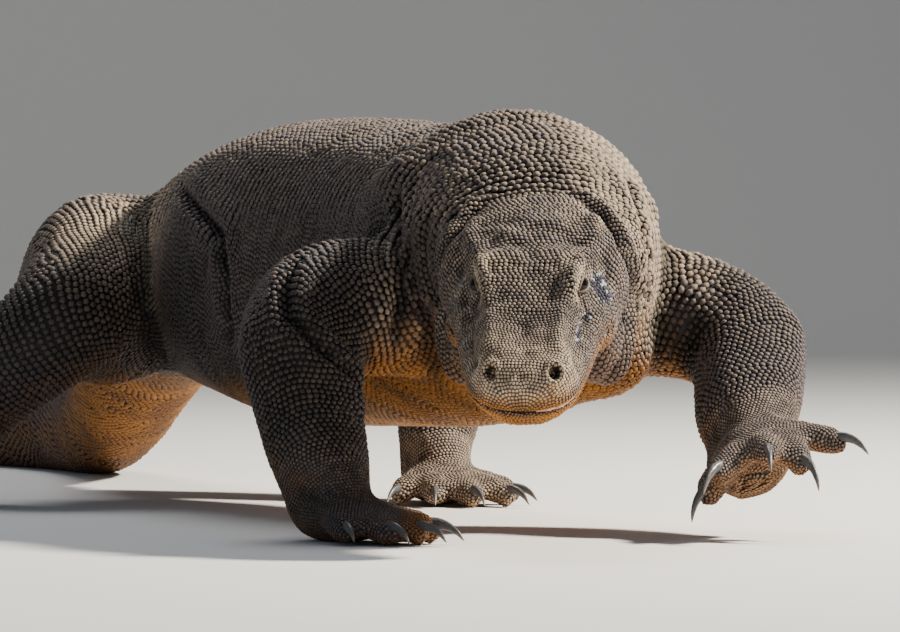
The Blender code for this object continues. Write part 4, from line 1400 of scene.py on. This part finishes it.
# ---- the whole animal
def gum(surface):
    """The pale edge of the mouth that shows at the front, on the animal's left."""
    tree = BVHTree.FromPolygons(surface.places.tolist(), surface.tris.tolist())
    start = Vector((0, 0.15, MOUTH_HEIGHT + 0.0006))
    line, outward = [], []
    for angle in np.radians(np.linspace(-8, -58, 30)):
        way = Vector((math.sin(angle), math.cos(angle), 0))
        hit = tree.ray_cast(HEAD @ (start + way * 0.12), HEAD.to_3x3() @ -way)[0]
        outward.append(HEAD_TURN @ np.array(way))
        line.append(np.array(hit) + outward[-1] * 0.0016)
    across = np.tile(HEAD_TURN[:, 2], (len(line), 1))
    taper = np.sin(np.linspace(0.12, math.pi - 0.12, len(line))) ** 0.5
    mesh = tube("gum", line, across, np.array(outward), 0.0021 * taper, 0.0014 * taper, ring=False)
    finished(new_object("gum", mesh), gum_material())


def gum_material():
    material, n, shader = new_material("gum")
    blotch = n.noise(n.place(), 260.0)
    pink = n.mix(n.ramp(blotch, 0.42, 0.58), colour(0.64, 0.43, 0.39), colour(0.48, 0.2, 0.16))
    n.fill(shader, {"Base Color": pink, "Roughness": 0.28})
    return material


def bare(places):
    """True where no scale grows: the eyes, the mouth's slit, the nostrils and the ears."""
    h, folded = folded_head(places)
    none = (np.abs(above_mouth(h)) < 0.001) & (h[:, 1] > 0.07)
    none |= from_nostril(folded) < 0.0048
    none |= from_ear(folded, 0.0024, 0.0085) < 1
    for side in SIDES.values():
        gap, _, reach = lid_distance(places, side)
        none |= (gap < 0.002) & (reach < 0.02)
    return none


def grown_roots(surface, lie, pitch, far, hollow, marks):
    """Every scale's root, with its normal, lie, size and other values."""
    rows, row_pitch = scale_roots(surface, lie.rows, pitch)
    halves, half_pitch = scale_roots(surface, lie.rows + 0.5, pitch)
    places = np.concatenate([rows, halves, surface.places])
    rank = (np.arange(len(places)) >= len(rows)).astype(int)
    places = places[kept(places, np.concatenate([row_pitch, half_pitch, pitch]), rank)]
    tree = BVHTree.FromPolygons(surface.places.tolist(), surface.tris.tolist())
    normals = surface.normals()
    first = on_surface(surface, tree, places, {"normal": normals, "pitch": pitch})
    places, spacing = relaxed(first["place"], unit(first["normal"]), first["pitch"])
    roots = on_surface(surface, tree, places, {
        "normal": normals, "lie": lie.directions(), "pitch": pitch, "far": far, "hollow": hollow,
        "marks": marks, "rows": lie.rows})
    roots["spacing"] = spacing
    fine = ~bare(roots["place"])
    return {key: value[fine] for key, value in roots.items()}


def painted_shade(surface, names):
    """How much shade is painted: 1 in creases, 2 in the nostrils, ears and mouth, 0 elsewhere."""
    sunk = ((surface.spread(surface.places, 12) - surface.places) * surface.normals()).sum(1)
    local = surface.places - WITHERS
    # Painted shade on the legs, the tail and the thigh's front, but not on the patch of painted sunlight on
    # the thigh.
    shaded = surface.spread(with_word(names, "leg") | with_word(names, "tail"), 12)
    shaded = np.maximum(shaded, 1.9 * bump(distance(local, THIGH_FRONT), 0.1))
    shaded = shaded * (1 - bump(distance(local, THIGH_PAINTED_SUN), 0.08))
    hollow = np.maximum(step(0.0001, 0.0011, sunk), 0.4 * shaded)
    h, folded = folded_head(surface.places)
    # Deep painted shade in the nostrils, ears and mouth.
    nostril = step(0.006, 0.0046, from_nostril(folded))
    ear = step(1.3, 0.9, from_ear(folded, 0.0024, 0.0085))
    mouth = bump(above_mouth(h), 0.0012) * step(0.062, 0.08, h[:, 1])
    return hollow + 2 * nostril + 2 * ear + 0.7 * mouth


def set_out(roots, names):
    """Adds each scale's turn, size and tone."""
    rng = np.random.default_rng(11)
    count = len(roots["place"])
    normal = unit(roots["normal"])
    lie_way = unit(roots["lie"] - normal * (roots["lie"] * normal).sum(1)[:, None])
    spin = rng.normal(0, 0.14, count)
    across = np.cross(lie_way, normal)
    y = unit(lie_way * np.cos(spin)[:, None] + across * np.sin(spin)[:, None])
    z = unit(normal - y * rng.normal(0.07, 0.05, count)[:, None])
    y = unit(y - z * (y * z).sum(1)[:, None])
    roots["turn"] = euler_angles(np.cross(y, z), y, z)
    # Taller on the back and neck, flatter on the flanks, belly, cheeks and feet.
    left, back, high = (roots["place"] - WITHERS).T
    rise = normal[:, 2]
    body = (names == "trunk") | (names == "neck")
    ridged = body * np.maximum(step(0.0, 0.6, rise), step(0.05, -0.05, back))
    flank = body * step(0.1, 0.2, back) * step(0.62, 0.5, back) * step(0.75, 0.45, rise)
    under = body * step(-0.2, -0.6, rise)
    cheek = np.isin(names, ("head", "lower_jaw")) * step(0.025, 0.005, in_head(roots["place"])[:, 2])
    tall = 0.38 - 0.13 * roots["marks"][:, 2] + 0.12 * ridged - 0.18 * flank - 0.1 * under
    tall = tall - 0.08 * cheek - 0.12 * with_word(names, "foot")
    # Every other row lies low across the neck and back, so that the others stand as ridges.
    crest = body * step(0.1, 0.5, rise) * (0.45 + 0.55 * step(0.08, -0.02, back))
    crest *= 1 - 0.95 * left_facing(normal) * step(0.1, -0.04, back)
    low = crest * (0.5 - 0.5 * np.cos(math.pi * roots["rows"]))
    tall = (tall + 0.2 * crest) * (1 - 0.5 * low)
    wide = 1 + (0.13 + 0.08 * crest) * ridged * (1 - flank)
    long = 1 - 0.07 * ridged - 0.08 * crest
    pitch = roots["pitch"]
    size = np.clip(roots["spacing"] * 0.965, 0.78 * pitch, 1.15 * pitch) * rng.uniform(0.93, 1.07, count)
    height = pitch * tall * rng.uniform(0.8, 1.2, count)
    roots["size"] = np.stack([size * wide, size * long, height], 1)
    roots["tone"] = rng.uniform(0, 1, count)
    roots["place"] = roots["place"] - normal * (pitch * ROOTS_SUNK + 0.0016 * low)[:, None]
    # Painted shade on the low rows, so that the gaps between the ridges look dark.
    roots["hollow"] = np.maximum(roots["hollow"], 0.7 * low)
    roots["round"] = np.arctan2(high - 0.2, left)


def coat(roots, names, material):
    """The scales of every part, in pieces of a size that can be handled."""
    tree = coat_tree()
    shapes = {
        kind: [scale_shape(f"{kind}_{k}", sides, rings, k + 3 * place) for k in range(3)]
        for place, (kind, (sides, rings)) in enumerate(DOMES.items())
    }
    for name in FLESH:
        kind = "small" if "foot" in name else "plain"
        if name.startswith(("foreleg", "head", "lower_jaw", "neck")):
            kind = "fine"
        chosen = np.flatnonzero(names == name)
        sides, rings = DOMES[kind]
        triangles = sides * (2 * len(rings) - 1) + sides - 2
        pieces = max(1, math.ceil(len(chosen) * triangles / MOST_TRIANGLES))
        chosen = chosen[np.argsort(roots["far"][chosen], kind="stable")]
        for number, chunk in enumerate(np.array_split(chosen, pieces)):
            own = {key: value[chunk] for key, value in roots.items()}
            label = f"scales_{name}_{number + 1}" if pieces > 1 else f"scales_{name}"
            coat_piece(label, own, shapes[kind], tree, material)
    for shape in sum(shapes.values(), []):
        bpy.data.objects.remove(shape)


def main():
    camera()
    studio()
    skin = base_surface()
    surface = Surface(skin)
    names = body_parts(surface.places)
    far = along_body(surface.places, names)
    sculpt_body(surface, names, far)
    sculpt_head(surface)
    gum(surface)
    sculpt_lids(surface)
    pitch = pitch_of(surface, names)
    # Where shade is painted, and the marks, which hold painted bounce light and sunlight too.
    hollow = painted_shade(surface, names)
    marks = markings(surface, names)
    roots = grown_roots(surface, Lie(surface, far, pitch), pitch, far, hollow, marks)
    root_names = body_parts(roots["place"])
    set_out(roots, root_names)
    group = hide_group()
    coat(roots, root_names, hide_material("hide_scales", group))

    # The hide itself lies a little below the roots.
    surface.places -= surface.normals() * (pitch * HIDE_SUNK)[:, None]
    surface.move(skin)
    # The skin carries the marks and the painted shade too.
    add_attribute(skin, "marks", marks)
    add_attribute(skin, "tone", np.full(surface.count, 0.3))
    add_attribute(skin, "hollow", hollow)
    finished(new_object("skin", skin), hide_material("hide_skin", group, tip=0.12), FLESH)

    eye_finish, lid_finish = eye_material(), hide_material("hide_lids", group, tip=0.45)
    for name, side in SIDES.items():
        eyeball(name, side, eye_finish)
        eyelids(name, side, lid_finish)
    horn = claw_material()
    for name in CLAWS:
        claw_piece(name, horn)


main()
